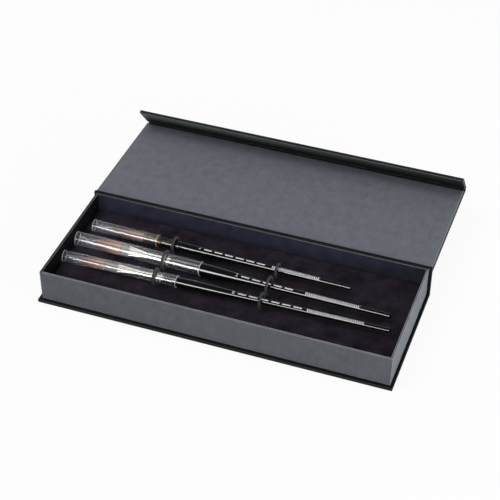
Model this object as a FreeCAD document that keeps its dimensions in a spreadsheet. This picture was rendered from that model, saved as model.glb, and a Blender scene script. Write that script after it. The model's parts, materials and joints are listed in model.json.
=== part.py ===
import FreeCAD, Part
import math
import os
import re

import Sketcher
from FreeCAD import Placement, Rotation, Vector

# Brush box: a rigid tray glued into a wrap-around paper case with a lid and a front flap, and
# three artist's brushes in clear tubes, held by elastic loops on a flocked pad.
# Frame: +X along the brushes, towards the handle tips, +Y towards the spine, +Z up.
# The origin is below the centre of the tray, at the underside of the case. Lengths are in mm.

SIZES = {
    # tray, outside sizes with its paper on
    "tray_length": 300.0,
    "tray_depth": 114.0,
    "tray_height": 28.0,
    "wall_board": 1.2,
    "floor_board": 2.0,
    "wrap_paper": 0.3,
    "lining_paper": 0.25,
    "lining_drop": 0.5,
    "stay_paper": 0.12,
    "stay_reach": 12.0,
    # boards of the case and the papers on them
    "case_board": 2.2,
    "cover_paper": 0.3,
    "liner_paper": 0.3,
    "cover_border": 0.6,
    "case_turn_in": 12.0,
    "side_overhang": 2.6,
    "front_overhang": 3.2,
    # lid and its paper hinge
    "lid_gap": 0.3,
    "hinge_drop": 1.0,
    "hinge_gap": 0.6,
    "strip_paper": 0.25,
    "strip_gap": 0.2,
    "lid_open_angle": 181.5,
    # flap and its paper hinge
    "flap_gap": 0.4,
    "flap_floor_gap": 0.4,
    "flap_hinge_gap": 0.6,
    "flap_hinge_lift": 0.15,
    "flap_fold_angle": 130.0,
    # magnets behind the papers of the front wall and the flap
    "magnet_diameter": 10.0,
    "magnet_thickness": 1.0,
    "magnet_spacing": 180.0,
    "magnet_height": 14.0,
    # pad
    "pad_gap": 0.3,
    "foam_height": 8.8,
    "velvet_thickness": 0.6,
    "velvet_edge_radius": 1.2,
    # elastic loops and the bars on their ends
    "cord_diameter": 2.3,
    "cord_hole_clearance": 0.15,
    "loop_clearance": 0.3,
    "left_row_inset": 84.6,
    "right_row_inset": 177.1,
    "pocket_depth": 2.6,
    "pocket_clearance": 0.6,
    "barb_diameter": 1.2,
    "barb_length": 5.0,
    "barb_gap": 0.1,
    # fits that the brushes share
    "rest_gap": 0.2,
    "glue_gap": 0.05,
    "tube_fit": 0.3,
    "ferrule_wall": 0.4,
    "crimp_radius": 0.8,
    "crimp_depth": 0.22,
    "crimp_spacing": 3.0,
    "crimp_inset": 2.4,
    # back brush: a round mop held in a bound quill
    "mop_place": 26.4,
    "mop_yaw": -0.6,
    "mop_end_gap": 9.1,
    "mop_tube_diameter": 10.8,
    "mop_tube_wall": 0.4,
    "mop_tube_length": 60.0,
    "mop_tuft_inset": 12.5,
    "mop_hair_length": 34.0,
    "mop_hair_diameter": 7.9,
    "mop_hair_tip_diameter": 0.5,
    "mop_quill_length": 29.0,
    "mop_quill_mouth_diameter": 8.3,
    "mop_quill_diameter": 8.6,
    "mop_handle_length": 157.6,
    "mop_belly_diameter": 7.9,
    "mop_waist_diameter": 5.5,
    "mop_tip_diameter": 3.9,
    "wire_diameter": 0.5,
    "wire_pitch": 1.0,
    "wire_lift": 0.08,
    "wire_front_inset": 1.6,
    "wire_rear_inset": 13.0,
    # middle brush: the wider filbert
    "wide_place": 4.5,
    "wide_yaw": -0.7,
    "wide_roll": 44.0,
    "wide_end_gap": 3.2,
    "wide_tube_diameter": 12.6,
    "wide_tube_wall": 0.5,
    "wide_tube_length": 114.0,
    "wide_tuft_inset": 15.9,
    "wide_hair_length": 25.0,
    "wide_flat_width": 10.8,
    "wide_flat_thickness": 3.6,
    "wide_flat_length": 8.0,
    "wide_shoulder_length": 17.0,
    "wide_round_length": 21.0,
    "wide_round_diameter": 8.4,
    "wide_handle_length": 191.9,
    "wide_waist_diameter": 5.5,
    "wide_tip_diameter": 4.1,
    # front brush: the slimmer filbert
    "slim_place": -19.3,
    "slim_yaw": 1.0,
    "slim_roll": 42.0,
    "slim_end_gap": 2.0,
    "slim_tube_diameter": 10.4,
    "slim_tube_wall": 0.5,
    "slim_tube_length": 101.8,
    "slim_tuft_inset": 14.2,
    "slim_hair_length": 23.0,
    "slim_flat_width": 8.7,
    "slim_flat_thickness": 3.2,
    "slim_flat_length": 12.0,
    "slim_shoulder_length": 19.0,
    "slim_round_length": 22.0,
    "slim_round_diameter": 7.0,
    "slim_handle_length": 193.9,
    "slim_waist_diameter": 5.3,
    "slim_tip_diameter": 4.0,
    # how far a cutting tool runs past the face that it opens
    "overrun": 1.0,
}

# Places and sizes that follow from the ones above.
DERIVED = {
    "case_stack": "cover_paper + case_board + liner_paper",
    "base_stack": "2 * cover_paper + case_board",
    "half_case": "tray_length / 2 + side_overhang",
    "half_length": "tray_length / 2",
    "half_depth": "tray_depth / 2",
    "rim_z": "base_stack + tray_height",
    "floor_z": "base_stack + floor_board",
    "board_x": "half_length - wrap_paper - stay_paper",
    "board_y": "half_depth - wrap_paper - stay_paper",
    "board_top": "rim_z - wrap_paper",
    "lining_x": "board_x - wall_board",
    "lining_y": "board_y - wall_board",
    "lining_top": "rim_z - lining_drop",
    "inner_x": "lining_x - lining_paper",
    "inner_y": "lining_y - lining_paper",
    "pad_x": "inner_x - pad_gap",
    "pad_y": "inner_y - pad_gap",
    "foam_x": "pad_x - velvet_thickness",
    "foam_y": "pad_y - velvet_thickness",
    "foam_top": "floor_z + foam_height",
    "pad_top": "foam_top + velvet_thickness",
    "base_front": "half_depth + front_overhang",
    "spine_face": "half_depth + base_stack",
    "hinge_y": "spine_face + hinge_gap",
    "hinge_z": "rim_z - hinge_drop",
    "lid_inside": "hinge_drop + lid_gap",
    "lid_outside": "lid_inside + case_stack",
    "flap_axis_reach": "hinge_y + half_depth + flap_gap - flap_hinge_lift",
    "flap_axis_rise": "lid_inside - flap_hinge_lift",
    "lid_reach": "flap_axis_reach - flap_hinge_gap",
    "flap_outside": "flap_hinge_lift + case_stack",
    "flap_reach": "tray_height + lid_gap - flap_hinge_lift - flap_floor_gap",
    "flap_axis_y": "hinge_y - flap_axis_reach * cos(lid_open_angle) + flap_axis_rise * sin(lid_open_angle)",
    "flap_axis_z": "hinge_z + flap_axis_reach * sin(lid_open_angle) + flap_axis_rise * cos(lid_open_angle)",
    "strip_radius": "hinge_gap - strip_gap",
    "cord_radius": "cord_diameter / 2",
    "hole_radius": "cord_radius + cord_hole_clearance",
    "cord_end": "floor_z + barb_diameter + barb_gap",
    "pocket_radius": "barb_length / 2 + pocket_clearance",
    "magnet_radius": "magnet_diameter / 2",
    "magnet_z": "base_stack + magnet_height",
    "flap_magnet_reach": "flap_reach + flap_floor_gap - magnet_height",
    "crimp_ring_radius": "crimp_radius - crimp_depth",
    "left_row_x": "left_row_inset - inner_x",
    "right_row_x": "right_row_inset - inner_x",
    "mop_round_diameter": "mop_quill_diameter",
    "mop_ferrule_length": "mop_quill_length",
    "mop_bore": "mop_quill_mouth_diameter / 2 - ferrule_wall - glue_gap",
}
BRUSHES = ("mop", "wide", "slim")
FILBERTS = ("wide", "slim")
for brush in BRUSHES:
    DERIVED |= {
        f"{brush}_start": f"{brush}_end_gap - inner_x",
        f"{brush}_axis_z": f"pad_top + {brush}_tube_diameter / 2 + rest_gap",
        f"{brush}_hair_root": f"{brush}_tuft_inset + {brush}_hair_length",
        f"{brush}_handle_start": f"{brush}_hair_root + {brush}_ferrule_length",
        f"{brush}_handle_end": f"{brush}_handle_start + {brush}_handle_length",
        f"{brush}_loop_radius": f"{brush}_tube_diameter / 2 + loop_clearance + cord_radius",
    }
for brush in FILBERTS:
    DERIVED |= {
        f"{brush}_ferrule_length": f"{brush}_flat_length + {brush}_shoulder_length + {brush}_round_length",
        f"{brush}_belly_diameter": f"{brush}_tube_diameter - 2 * {brush}_tube_wall - 2 * tube_fit",
        f"{brush}_bore": f"{brush}_round_diameter / 2 - ferrule_wall - glue_gap",
    }

ROWS = ("left", "right")
WIRE_TURNS = 3
# Points on each turn at which the gap between turns is measured.
WIRE_POINTS = 48
# Where a handle is thickest, and where its waist starts, as shares of its length.
HANDLE_SHARES = {"mop": (0.10, 0.55), "wide": (0.14, 0.48), "slim": (0.11, 0.47)}
# How many straight steps make each curve of a handle: to the belly, to the waist, to the tip.
HANDLE_STEPS = (4, 9, 5)
# Sections of filbert hair, from the ferrule to the tip: shares of its length, width and thickness.
FILBERT_SHARES = (
    (0.0, 0.97, 0.90),
    (0.15, 0.99, 1.0),
    (0.32, 1.0, 1.05),
    (0.5, 0.95, 0.98),
    (0.66, 0.85, 0.84),
    (0.8, 0.69, 0.64),
    (0.91, 0.48, 0.44),
    (1.0, 0.16, 0.2),
)
# Sections of mop hair, from the quill to the tip: shares of its length and belly diameter.
MOP_HAIR_SHARES = (
    (0.0, 0.93),
    (0.14, 0.985),
    (0.28, 1.0),
    (0.44, 0.95),
    (0.6, 0.82),
    (0.75, 0.61),
    (0.88, 0.36),
)
HAIR_ROOT_SHARE = 0.7
QUILL_ROOT_SHARE = 0.5
TENON_SHARE = 0.4
TIP_ROUND_SHARE = 0.42
NEAR_ROUND_SHARE = 1.02

doc = FreeCAD.newDocument("brush_box")
sheet = doc.addObject("Spreadsheet::Sheet", "Sizes")
for row, (alias, number) in enumerate(SIZES.items(), start=1):
    sheet.set(f"A{row}", alias.replace("_", " "))
    sheet.set(f"B{row}", str(number))
    sheet.setAlias(f"B{row}", alias)
doc.recompute()
nodes = {}


def formula(text):
    """Spell a formula of named sizes out in cells of the sheet."""
    def spell(match):
        word = match.group()
        if word in DERIVED:
            return f"({formula(DERIVED[word])})"
        return f"Sizes.{word}" if word in SIZES else word
    return re.sub(r"[a-z][a-z_]*", spell, text)


def value(text):
    """The number that a formula gives now."""
    return float(sheet.evalExpression(formula(text)))


def bind(target, **formulas):
    """Tie properties to formulas. A double underscore in a name stands for a dot."""
    for name, text in formulas.items():
        target.setExpression(name.replace("__", "."), formula(text))


def place(target, x, y, z):
    bind(target, Placement__Base__x=x, Placement__Base__y=y, Placement__Base__z=z)


def turn(target, axis, angle):
    target.Placement = Placement(target.Placement.Base, Rotation(axis, 1))
    bind(target, Placement__Rotation__Angle=angle)


def body(label):
    """A new sub-part, in the frame of the box."""
    part = doc.addObject("PartDesign::Body", label)
    part.Label = label
    nodes[label] = part
    return part


def lid_body(label):
    """A sub-part in the lid's frame: the hinge line, with the lid shut at no turn."""
    part = body(label)
    turn(part, Vector(-1, 0, 0), "lid_open_angle")
    place(part, "0", "hinge_y", "hinge_z")
    return part


def flap_body(label, angle="lid_open_angle - flap_fold_angle"):
    """A sub-part in the flap's frame: the flap's fold line, with the flap level at no turn."""
    part = body(label)
    turn(part, Vector(-1, 0, 0), angle)
    place(part, "0", "flap_axis_y", "flap_axis_z")
    return part


def brush_body(label, brush):
    """A sub-part in a brush's frame: the end of its tube, with +X towards the handle."""
    part = body(label)
    turn(part, Vector(0, 0, 1), f"{brush}_yaw")
    place(part, f"{brush}_start", f"{brush}_place", f"{brush}_axis_z")
    return part


def solid(part, shape, cut=False):
    return part.newObject(f"PartDesign::{'Subtractive' if cut else 'Additive'}{shape}", shape)


def box(part, low, high, cut=False):
    """A block between two corners."""
    block = solid(part, "Box", cut)
    spans = [f"({top}) - ({bottom})" for bottom, top in zip(low, high)]
    bind(block, Length=spans[0], Width=spans[1], Height=spans[2])
    place(block, *low)
    return block


def cylinder(part, base, radius, height, rotation=Rotation(), cut=False):
    rod = solid(part, "Cylinder", cut)
    rod.Placement = Placement(Vector(), rotation)
    bind(rod, Radius=radius, Height=height)
    place(rod, *base)
    return rod


ALONG_X = Rotation(Vector(0, 0, 1), Vector(1, 0, 0))
ALONG_Y = Rotation(Vector(0, 0, 1), Vector(0, 1, 0))


def plane(part, role):
    return next(item for item in part.Origin.OriginFeatures if item.Role == role)


def cross_section(part, x):
    """A sketch across the part's X axis."""
    sketch = part.newObject("Sketcher::SketchObject", "Section")
    sketch.AttachmentSupport = (plane(part, "YZ_Plane"), [""])
    sketch.MapMode = "FlatFace"
    bind(sketch, AttachmentOffset__Base__z=x)
    return sketch


def round_section(part, x, diameter):
    sketch = cross_section(part, x)
    sketch.addGeometry(Part.Circle(Vector(), Vector(0, 0, 1), value(diameter) / 2))
    sketch.addConstraint(Sketcher.Constraint("Coincident", 0, 3, -1, 1))
    index = sketch.addConstraint(Sketcher.Constraint("Diameter", 0, value(diameter)))
    bind(sketch, **{f"Constraints[{index}]": diameter})
    return sketch


def oblong_section(part, x, width, thickness, roll):
    """A flat-sided section with half-round ends, rolled about the brush's axis."""
    sketch = cross_section(part, x)
    sketch.AttachmentOffset = Placement(Vector(), Rotation(Vector(0, 0, 1), 1))
    bind(sketch, AttachmentOffset__Rotation__Angle=roll)
    radius = value(thickness) / 2
    reach = value(width) / 2 - radius
    up = Vector(0, 0, 1)
    quarter = math.pi / 2
    ends = [
        Part.ArcOfCircle(Part.Circle(Vector(reach, 0, 0), up, radius), -quarter, quarter),
        Part.ArcOfCircle(Part.Circle(Vector(-reach, 0, 0), up, radius), quarter, 3 * quarter),
    ]
    right, left = (sketch.addGeometry(end) for end in ends)
    top = sketch.addGeometry(Part.LineSegment(Vector(reach, radius, 0), Vector(-reach, radius, 0)))
    bottom = sketch.addGeometry(Part.LineSegment(Vector(-reach, -radius, 0), Vector(reach, -radius, 0)))
    for first, last in ((right, top), (top, left), (left, bottom), (bottom, right)):
        sketch.addConstraint(Sketcher.Constraint("Tangent", first, 2, last, 1))
    sketch.addConstraint(Sketcher.Constraint("PointOnObject", right, 3, -1))
    sketch.addConstraint(Sketcher.Constraint("Symmetric", right, 3, left, 3, -1, 1))
    span = sketch.addConstraint(Sketcher.Constraint("DistanceX", left, 3, right, 3, 2 * reach))
    curve = sketch.addConstraint(Sketcher.Constraint("Radius", right, radius))
    bind(sketch, **{
        f"Constraints[{span}]": f"({width}) - ({thickness})",
        f"Constraints[{curve}]": f"({thickness}) / 2",
    })
    return sketch


def loft(part, sections, cut=False):
    """Straight-sided steps from section to section."""
    skin = solid(part, "Loft", cut)
    skin.Profile = sections[0]
    skin.Sections = sections[1:]
    skin.Ruled = True
    return skin


def fillet(part, feature, edges, radius):
    """Round the edges of a feature that a test picks."""
    doc.recompute()
    names = [f"Edge{i}" for i, edge in enumerate(feature.Shape.Edges, start=1) if edges(edge)]
    rounding = part.newObject("PartDesign::Fillet", "Fillet")
    rounding.Base = (feature, names)
    bind(rounding, Radius=radius)
    return rounding


# case: boards inside paper shells


def shell(name, low, high, opening_low, opening_high):
    """A board, and the paper folded round it, open inside its turn-ins."""
    board_low = [f"({number}) + cover_paper" for number in low]
    board_high = [f"({number}) - cover_paper" for number in high]
    cover = body(f"{name}_cover")
    box(cover, low, high)
    box(cover, board_low, board_high, cut=True)
    box(cover, opening_low, opening_high, cut=True)
    box(body(f"{name}_board"), board_low, board_high)


def base():
    shell("base", ("-half_case", "-base_front", "0"), ("half_case", "half_depth", "base_stack"),
          ("case_turn_in - half_case", "case_turn_in - base_front", "base_stack - cover_paper"),
          ("half_case - case_turn_in", "half_depth - case_turn_in", "base_stack"))


def spine():
    shell("spine", ("-half_case", "half_depth", "0"), ("half_case", "spine_face", "rim_z"),
          ("case_turn_in - half_case", "half_depth", "case_turn_in"),
          ("half_case - case_turn_in", "half_depth + cover_paper", "rim_z - case_turn_in"))


def panel(name, new_body, near, far, inside, outside):
    """A lid or flap panel: cover, board and liner, level in its own frame, reaching towards -Y."""
    board = (("cover_paper - half_case", f"cover_paper - {far}", f"{inside} + liner_paper"),
             ("half_case - cover_paper", f"-{near} - cover_paper", f"{outside} - cover_paper"))
    window = (("cover_border - half_case", f"cover_border - {far}", inside),
              ("half_case - cover_border", f"-{near} - cover_border", f"{inside} + liner_paper"))
    sheet_low = [f"{window[0][0]} + glue_gap", f"{window[0][1]} + glue_gap", window[0][2]]
    sheet_high = [f"{window[1][0]} - glue_gap", f"{window[1][1]} - glue_gap", window[1][2]]
    cover = new_body(f"{name}_cover")
    box(cover, ("-half_case", f"-{far}", inside), ("half_case", f"-{near}", outside))
    box(cover, *board, cut=True)
    box(cover, *window, cut=True)
    box(new_body(f"{name}_liner"), sheet_low, sheet_high)
    core = new_body(f"{name}_board")
    box(core, *board)
    return core


def lid():
    panel("lid", lid_body, "hinge_gap", "lid_reach", "lid_inside", "lid_outside")


def flap():
    core = panel("flap", flap_body, "flap_hinge_gap", "flap_reach", "flap_hinge_lift", "flap_outside")
    magnets = flap_body("flap_magnets")
    for x in ("-magnet_spacing / 2", "magnet_spacing / 2"):
        seat = (x, "-flap_magnet_reach", "flap_hinge_lift + liner_paper")
        cylinder(core, seat, "magnet_radius + glue_gap", "magnet_thickness + glue_gap", cut=True)
        cylinder(magnets, seat, "magnet_radius", "magnet_thickness")


def lid_hinge():
    """Paper tucked up between the spine and the lid, in a bend about the hinge line."""
    strip = body("lid_hinge_strip")
    over_the_top = Rotation(Vector(0, -1, 0), Vector(0, 0, 1), Vector(-1, 0, 0), "XYZ")
    start = ("half_case", "hinge_y", "hinge_z")
    inner = "strip_radius - strip_paper"
    bend = cylinder(strip, start, "strip_radius", "2 * half_case", over_the_top)
    bend.Angle = 180
    for near, far in (("-strip_radius", f"-({inner})"), (inner, "strip_radius")):
        box(strip, ("-half_case", f"hinge_y + {near}", "hinge_z - lid_outside"),
            ("half_case", f"hinge_y + {far}", "hinge_z"))
    cylinder(strip, start, inner, "2 * half_case", over_the_top, cut=True)


def flap_hinge():
    """Paper round the outside of the flap's fold, in a bend about the fold line."""
    strip = flap_body("flap_hinge_strip", "lid_open_angle")
    outward = Rotation(Vector(0, 0, 1), Vector(0, -1, 0), Vector(1, 0, 0), "XYZ")
    inner = "flap_outside - strip_paper"
    bend = cylinder(strip, ("-half_case", "0", "0"), "flap_outside", "2 * half_case", outward)
    bind(bend, Angle="flap_fold_angle")
    cylinder(strip, ("-half_case", "0", "0"), inner, "2 * half_case", outward, cut=True)
    box(strip, ("-half_case", "0", inner), ("half_case", "flap_hinge_gap - glue_gap", "flap_outside"))
    tail = box(strip, ("-half_case", "0", inner), ("half_case", "flap_hinge_gap - glue_gap", "flap_outside"))
    turn(tail, Vector(1, 0, 0), "flap_fold_angle")
    place(tail, "-half_case",
          f"-({inner}) * sin(flap_fold_angle) - (flap_hinge_gap - glue_gap) * cos(flap_fold_angle)",
          f"({inner}) * cos(flap_fold_angle) - (flap_hinge_gap - glue_gap) * sin(flap_fold_angle)")


# tray: boards, papers and pad


def tray_boards():
    box(body("tray_floor"), ("-lining_x", "-lining_y", "base_stack"), ("lining_x", "lining_y", "floor_z"))
    front = body("tray_front_wall")
    box(front, ("-board_x", "-board_y", "base_stack"), ("board_x", "-lining_y", "board_top"))
    box(body("tray_back_wall"), ("-board_x", "lining_y", "base_stack"), ("board_x", "board_y", "board_top"))
    box(body("tray_left_wall"), ("-board_x", "-lining_y", "base_stack"),
        ("-lining_x", "lining_y", "board_top"))
    box(body("tray_right_wall"), ("lining_x", "-lining_y", "base_stack"),
        ("board_x", "lining_y", "board_top"))
    magnets = body("tray_magnets")
    for x in ("-magnet_spacing / 2", "magnet_spacing / 2"):
        seat = (x, "-board_y", "magnet_z")
        cylinder(front, seat, "magnet_radius + glue_gap", "magnet_thickness + glue_gap", ALONG_Y, cut=True)
        cylinder(magnets, seat, "magnet_radius", "magnet_thickness", ALONG_Y)


def corner_stays():
    """Paper tapes folded round the tray's four corners, under the wrap."""
    stays = body("corner_stays")
    outer_x, outer_y = "(board_x + stay_paper)", "(board_y + stay_paper)"
    for sx in ("-", ""):
        for sy in ("-", ""):
            along_x = sorted_pair(f"{sx}(board_x - stay_reach)", f"{sx}{outer_x}", sx)
            across_y = sorted_pair(f"{sy}board_y", f"{sy}{outer_y}", sy)
            across_x = sorted_pair(f"{sx}board_x", f"{sx}{outer_x}", sx)
            along_y = sorted_pair(f"{sy}(board_y - stay_reach)", f"{sy}{outer_y}", sy)
            for spans in ((along_x, across_y), (across_x, along_y)):
                low, high = zip(*spans, ("base_stack", "board_top"))
                box(stays, low, high)


def sorted_pair(inner, outer, sign):
    """An inner and an outer place in rising order, on the side that the sign gives."""
    return (outer, inner) if sign else (inner, outer)


def tray_papers():
    wrap = body("tray_wrap")
    box(wrap, ("-half_length", "-half_depth", "base_stack"), ("half_length", "half_depth", "rim_z"))
    box(wrap, ("wrap_paper - half_length", "wrap_paper - half_depth", "base_stack"),
        ("half_length - wrap_paper", "half_depth - wrap_paper", "board_top"), cut=True)
    box(wrap, ("-lining_x", "-lining_y", "base_stack"), ("lining_x", "lining_y", "rim_z"), cut=True)
    lining = body("tray_lining")
    box(lining, ("-lining_x", "-lining_y", "floor_z"), ("lining_x", "lining_y", "lining_top"))
    box(lining, ("-inner_x", "-inner_y", "floor_z"), ("inner_x", "inner_y", "lining_top"), cut=True)


def legs():
    """The X and Y of each loop's two legs."""
    for brush in BRUSHES:
        for row in ROWS:
            middle = loop_middle(brush, row)
            for side in ("-", "+"):
                yield (f"{row}_row_x - (0 {side} {brush}_loop_radius) * sin({brush}_yaw)",
                       f"{middle} {side} {brush}_loop_radius * cos({brush}_yaw)")


def loop_middle(brush, row):
    return f"{brush}_place + ({row}_row_x - {brush}_start) * tan({brush}_yaw)"


def pad():
    velvet = body("velvet_cover")
    block = box(velvet, ("-pad_x", "-pad_y", "floor_z"), ("pad_x", "pad_y", "pad_top"))
    inside = value("foam_top")
    fillet(velvet, block, lambda edge: edge.BoundBox.ZMin > inside, "velvet_edge_radius")
    box(velvet, ("-foam_x", "-foam_y", "floor_z"), ("foam_x", "foam_y", "foam_top"), cut=True)
    foam = body("foam_pad")
    box(foam, ("-foam_x", "-foam_y", "floor_z"), ("foam_x", "foam_y", "foam_top"))
    barbs = body("loop_barbs")
    for x, y in legs():
        cylinder(velvet, (x, y, "foam_top - overrun"), "hole_radius",
                 "velvet_thickness + 2 * overrun", cut=True)
        cylinder(foam, (x, y, "floor_z"), "hole_radius", "foam_height + overrun", cut=True)
        cylinder(foam, (x, y, "floor_z"), "pocket_radius", "pocket_depth", cut=True)
        cylinder(barbs, (f"{x} - barb_length / 2", y, "floor_z + barb_diameter / 2"),
                 "barb_diameter / 2", "barb_length", ALONG_X)


def loops():
    """Elastic loops, standing in the pad and arching over each brush."""
    across = Rotation(Vector(0, 1, 0), Vector(0, 0, 1), Vector(1, 0, 0), "XYZ")
    for brush in BRUSHES:
        radius = f"{brush}_loop_radius"
        for row in ROWS:
            loop = body(f"loop_{brush}_{row}")
            turn(loop, Vector(0, 0, 1), f"{brush}_yaw")
            place(loop, f"{row}_row_x", loop_middle(brush, row), f"{brush}_axis_z")
            arch = solid(loop, "Torus")
            arch.Placement = Placement(Vector(), across)
            arch.Angle3 = 180
            bind(arch, Radius1=radius, Radius2="cord_radius")
            for side in ("-", ""):
                cylinder(loop, ("0", f"{side}{radius}", f"cord_end - {brush}_axis_z"),
                         "cord_radius", f"{brush}_axis_z - cord_end")


# brushes


def tube(brush):
    part = brush_body(f"{brush}_tube", brush)
    outer = f"{brush}_tube_diameter / 2"
    cylinder(part, ("0", "0", "0"), outer, f"{brush}_tube_length", ALONG_X)
    cylinder(part, ("-overrun", "0", "0"), f"{outer} - {brush}_tube_wall",
             f"{brush}_tube_length + 2 * overrun", ALONG_X, cut=True)


def handle(brush):
    """A lacquered wood handle, with a tenon that goes into the ferrule."""
    part = brush_body(f"{brush}_handle", brush)
    start, length = f"{brush}_handle_start", f"{brush}_handle_length"
    places = (0, *HANDLE_SHARES[brush], 1)
    sizes = [f"{brush}_{name}_diameter" for name in ("round", "belly", "waist", "tip")]
    sections = [round_section(part, start, sizes[0])]
    for i, steps in enumerate(HANDLE_STEPS):
        for step in range(1, steps + 1):
            along = step / steps
            ease = along ** 2 * (3 - 2 * along)
            share = places[i] + along * (places[i + 1] - places[i])
            sections.append(round_section(part, f"{start} + {share:.5f} * {length}",
                                          f"{sizes[i]} + {ease:.5f} * ({sizes[i + 1]} - {sizes[i]})"))
    stem = loft(part, sections)
    near_end = value(f"{brush}_handle_end - {brush}_tip_diameter")
    rounding = f"{TIP_ROUND_SHARE} * {brush}_tip_diameter"
    fillet(part, stem, lambda edge: edge.BoundBox.XMin > near_end, rounding)
    tenon = f"{TENON_SHARE} * {brush}_ferrule_length"
    cylinder(part, (f"{start} - {tenon}", "0", "0"), f"{brush}_bore", tenon, ALONG_X)


def ferrule(brush):
    """A nickelled ferrule, round on the handle and pressed flat at the hair, with two crimps."""
    part = brush_body(f"{brush}_ferrule", brush)
    root, shoulder = f"{brush}_hair_root", f"{brush}_hair_root + {brush}_flat_length"
    neck, end = f"{shoulder} + {brush}_shoulder_length", f"{brush}_handle_start"
    for wall, cut in (("0", False), ("ferrule_wall", True)):
        flat = (f"{brush}_flat_width - 2 * {wall}", f"{brush}_flat_thickness - 2 * {wall}")
        bore = f"({brush}_round_diameter - 2 * {wall})"
        tube_end = (f"{NEAR_ROUND_SHARE} * {bore}", bore)
        sections = [oblong_section(part, x, *size, f"{brush}_roll")
                    for x, size in ((root, flat), (shoulder, flat), (neck, tube_end), (end, tube_end))]
        loft(part, sections, cut)
    for step in ("crimp_inset", "crimp_inset + crimp_spacing"):
        crimp = solid(part, "Torus", cut=True)
        crimp.Placement = Placement(Vector(), ALONG_X)
        bind(crimp, Radius1=f"{brush}_round_diameter / 2 + crimp_ring_radius", Radius2="crimp_radius")
        place(crimp, f"{end} - ({step})", "0", "0")


def filbert_hair(brush):
    part = brush_body(f"{brush}_tuft", brush)
    root = f"{brush}_hair_root"
    wall = "2 * (ferrule_wall + glue_gap)"
    held = (f"{brush}_flat_width - {wall}", f"{brush}_flat_thickness - {wall}")
    depth = f"{HAIR_ROOT_SHARE} * {brush}_flat_length"
    roll = f"{brush}_roll"
    loft(part, [oblong_section(part, x, *held, roll) for x in (f"{root} + {depth}", root)])
    sections = [oblong_section(part, f"{root} - {along} * {brush}_hair_length", f"{across} * {brush}_flat_width",
                               f"{through} * {brush}_flat_thickness", roll)
                for along, across, through in FILBERT_SHARES]
    loft(part, sections)


def quill():
    """A clear quill, a little wider at the handle."""
    part = brush_body("mop_quill", "mop")
    for wall, cut in (("0", False), ("ferrule_wall", True)):
        cone = solid(part, "Cone", cut)
        cone.Placement = Placement(Vector(), ALONG_X)
        bind(cone, Radius1=f"mop_quill_mouth_diameter / 2 - {wall}",
             Radius2=f"mop_quill_diameter / 2 - {wall}", Height="mop_quill_length")
        place(cone, "mop_hair_root", "0", "0")


def mop_hair():
    part = brush_body("mop_tuft", "mop")
    depth = f"{QUILL_ROOT_SHARE} * mop_quill_length"
    cylinder(part, ("mop_hair_root", "0", "0"), "mop_bore", depth, ALONG_X)
    sections = [round_section(part, f"mop_hair_root - {along} * mop_hair_length",
                              f"{across} * mop_hair_diameter")
                for along, across in MOP_HAIR_SHARES]
    sections.append(round_section(part, "mop_tuft_inset", "mop_hair_tip_diameter"))
    loft(part, sections)


def tangent_arc(start, along, end):
    """An arc from a point, leaving in a direction, to another point."""
    chord = end - start
    unit = Vector(chord).normalize()
    bulge = along - unit * along.dot(unit)
    slope = math.acos(min(1.0, along.dot(unit)))
    middle = start + chord / 2 + bulge.normalize() * (chord.Length / 2 * math.tan(slope / 2))
    return Part.Arc(start, middle, end).toShape()


def biarc(start, along, end, onward):
    """Two arcs that join two points and keep the directions there."""
    span, both = end - start, along + onward
    open_share = 2 * (1 - along.dot(onward))
    reach = (-span.dot(both) + math.sqrt(span.dot(both) ** 2 + open_share * span.dot(span))) / open_share
    middle = (start + along * reach + end - onward * reach) / 2
    first = tangent_arc(start, along, middle)
    last = tangent_arc(end, -onward, middle)
    return [first, last]


def winding(label, inset):
    """Wire wound on the quill in open turns, with short straight ends."""
    wire, pitch = value("wire_diameter"), value("wire_pitch")
    widest = value(f"mop_quill_mouth_diameter / 2 + (mop_quill_diameter - mop_quill_mouth_diameter) / 2"
                   f" * ({inset} + {WIRE_TURNS} * wire_pitch) / mop_quill_length")
    radius = widest + value("wire_lift") + wire / 2
    start = value(f"mop_hair_root + {inset}")

    def point(turns):
        angle = 2 * math.pi * turns
        return Vector(start + pitch * turns, radius * math.cos(angle), radius * math.sin(angle))

    def heading(turns):
        angle = 2 * math.pi * turns
        rim = 2 * math.pi * radius
        return Vector(pitch, -rim * math.sin(angle), rim * math.cos(angle)).normalize()

    quarters = [step / 4 for step in range(4 * WIRE_TURNS + 1)]
    first, last = point(0), point(WIRE_TURNS)
    edges = [Part.LineSegment(first - heading(0) * wire, first).toShape()]
    for near, far in zip(quarters, quarters[1:]):
        edges += biarc(point(near), heading(near), point(far), heading(far))
    edges.append(Part.LineSegment(last, last + heading(WIRE_TURNS) * wire).toShape())
    path = Part.Wire(Part.__sortEdges__(edges))
    profile = Part.Wire(Part.Circle(first - heading(0) * wire, heading(0), wire / 2).toShape())
    feature = doc.addObject("Part::Feature", label)
    feature.Label = label
    feature.Shape = path.makePipeShell([profile], True, False)
    feature.Placement = nodes["mop_quill"].Placement
    nodes[label] = feature
    points = [point(step / WIRE_POINTS) for step in range(WIRE_POINTS * WIRE_TURNS + 1)]
    half_turn = WIRE_POINTS // 2
    gaps = [near.distanceToPoint(far) - wire
            for i, near in enumerate(points) for far in points[i + half_turn:]]
    print(f"{label}: {WIRE_TURNS} turns, least gap between turns {min(gaps):.2f} mm")


def check():
    doc.recompute()
    failed = [item.Name for item in doc.Objects if {"Invalid", "Error"} & set(item.State)]
    if failed:
        raise RuntimeError(f"not built: {failed}")
    for label, part in nodes.items():
        shape = part.Shape
        if shape.isNull() or not shape.isValid() or not shape.Solids:
            raise RuntimeError(f"{label} has no sound solid")


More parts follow.
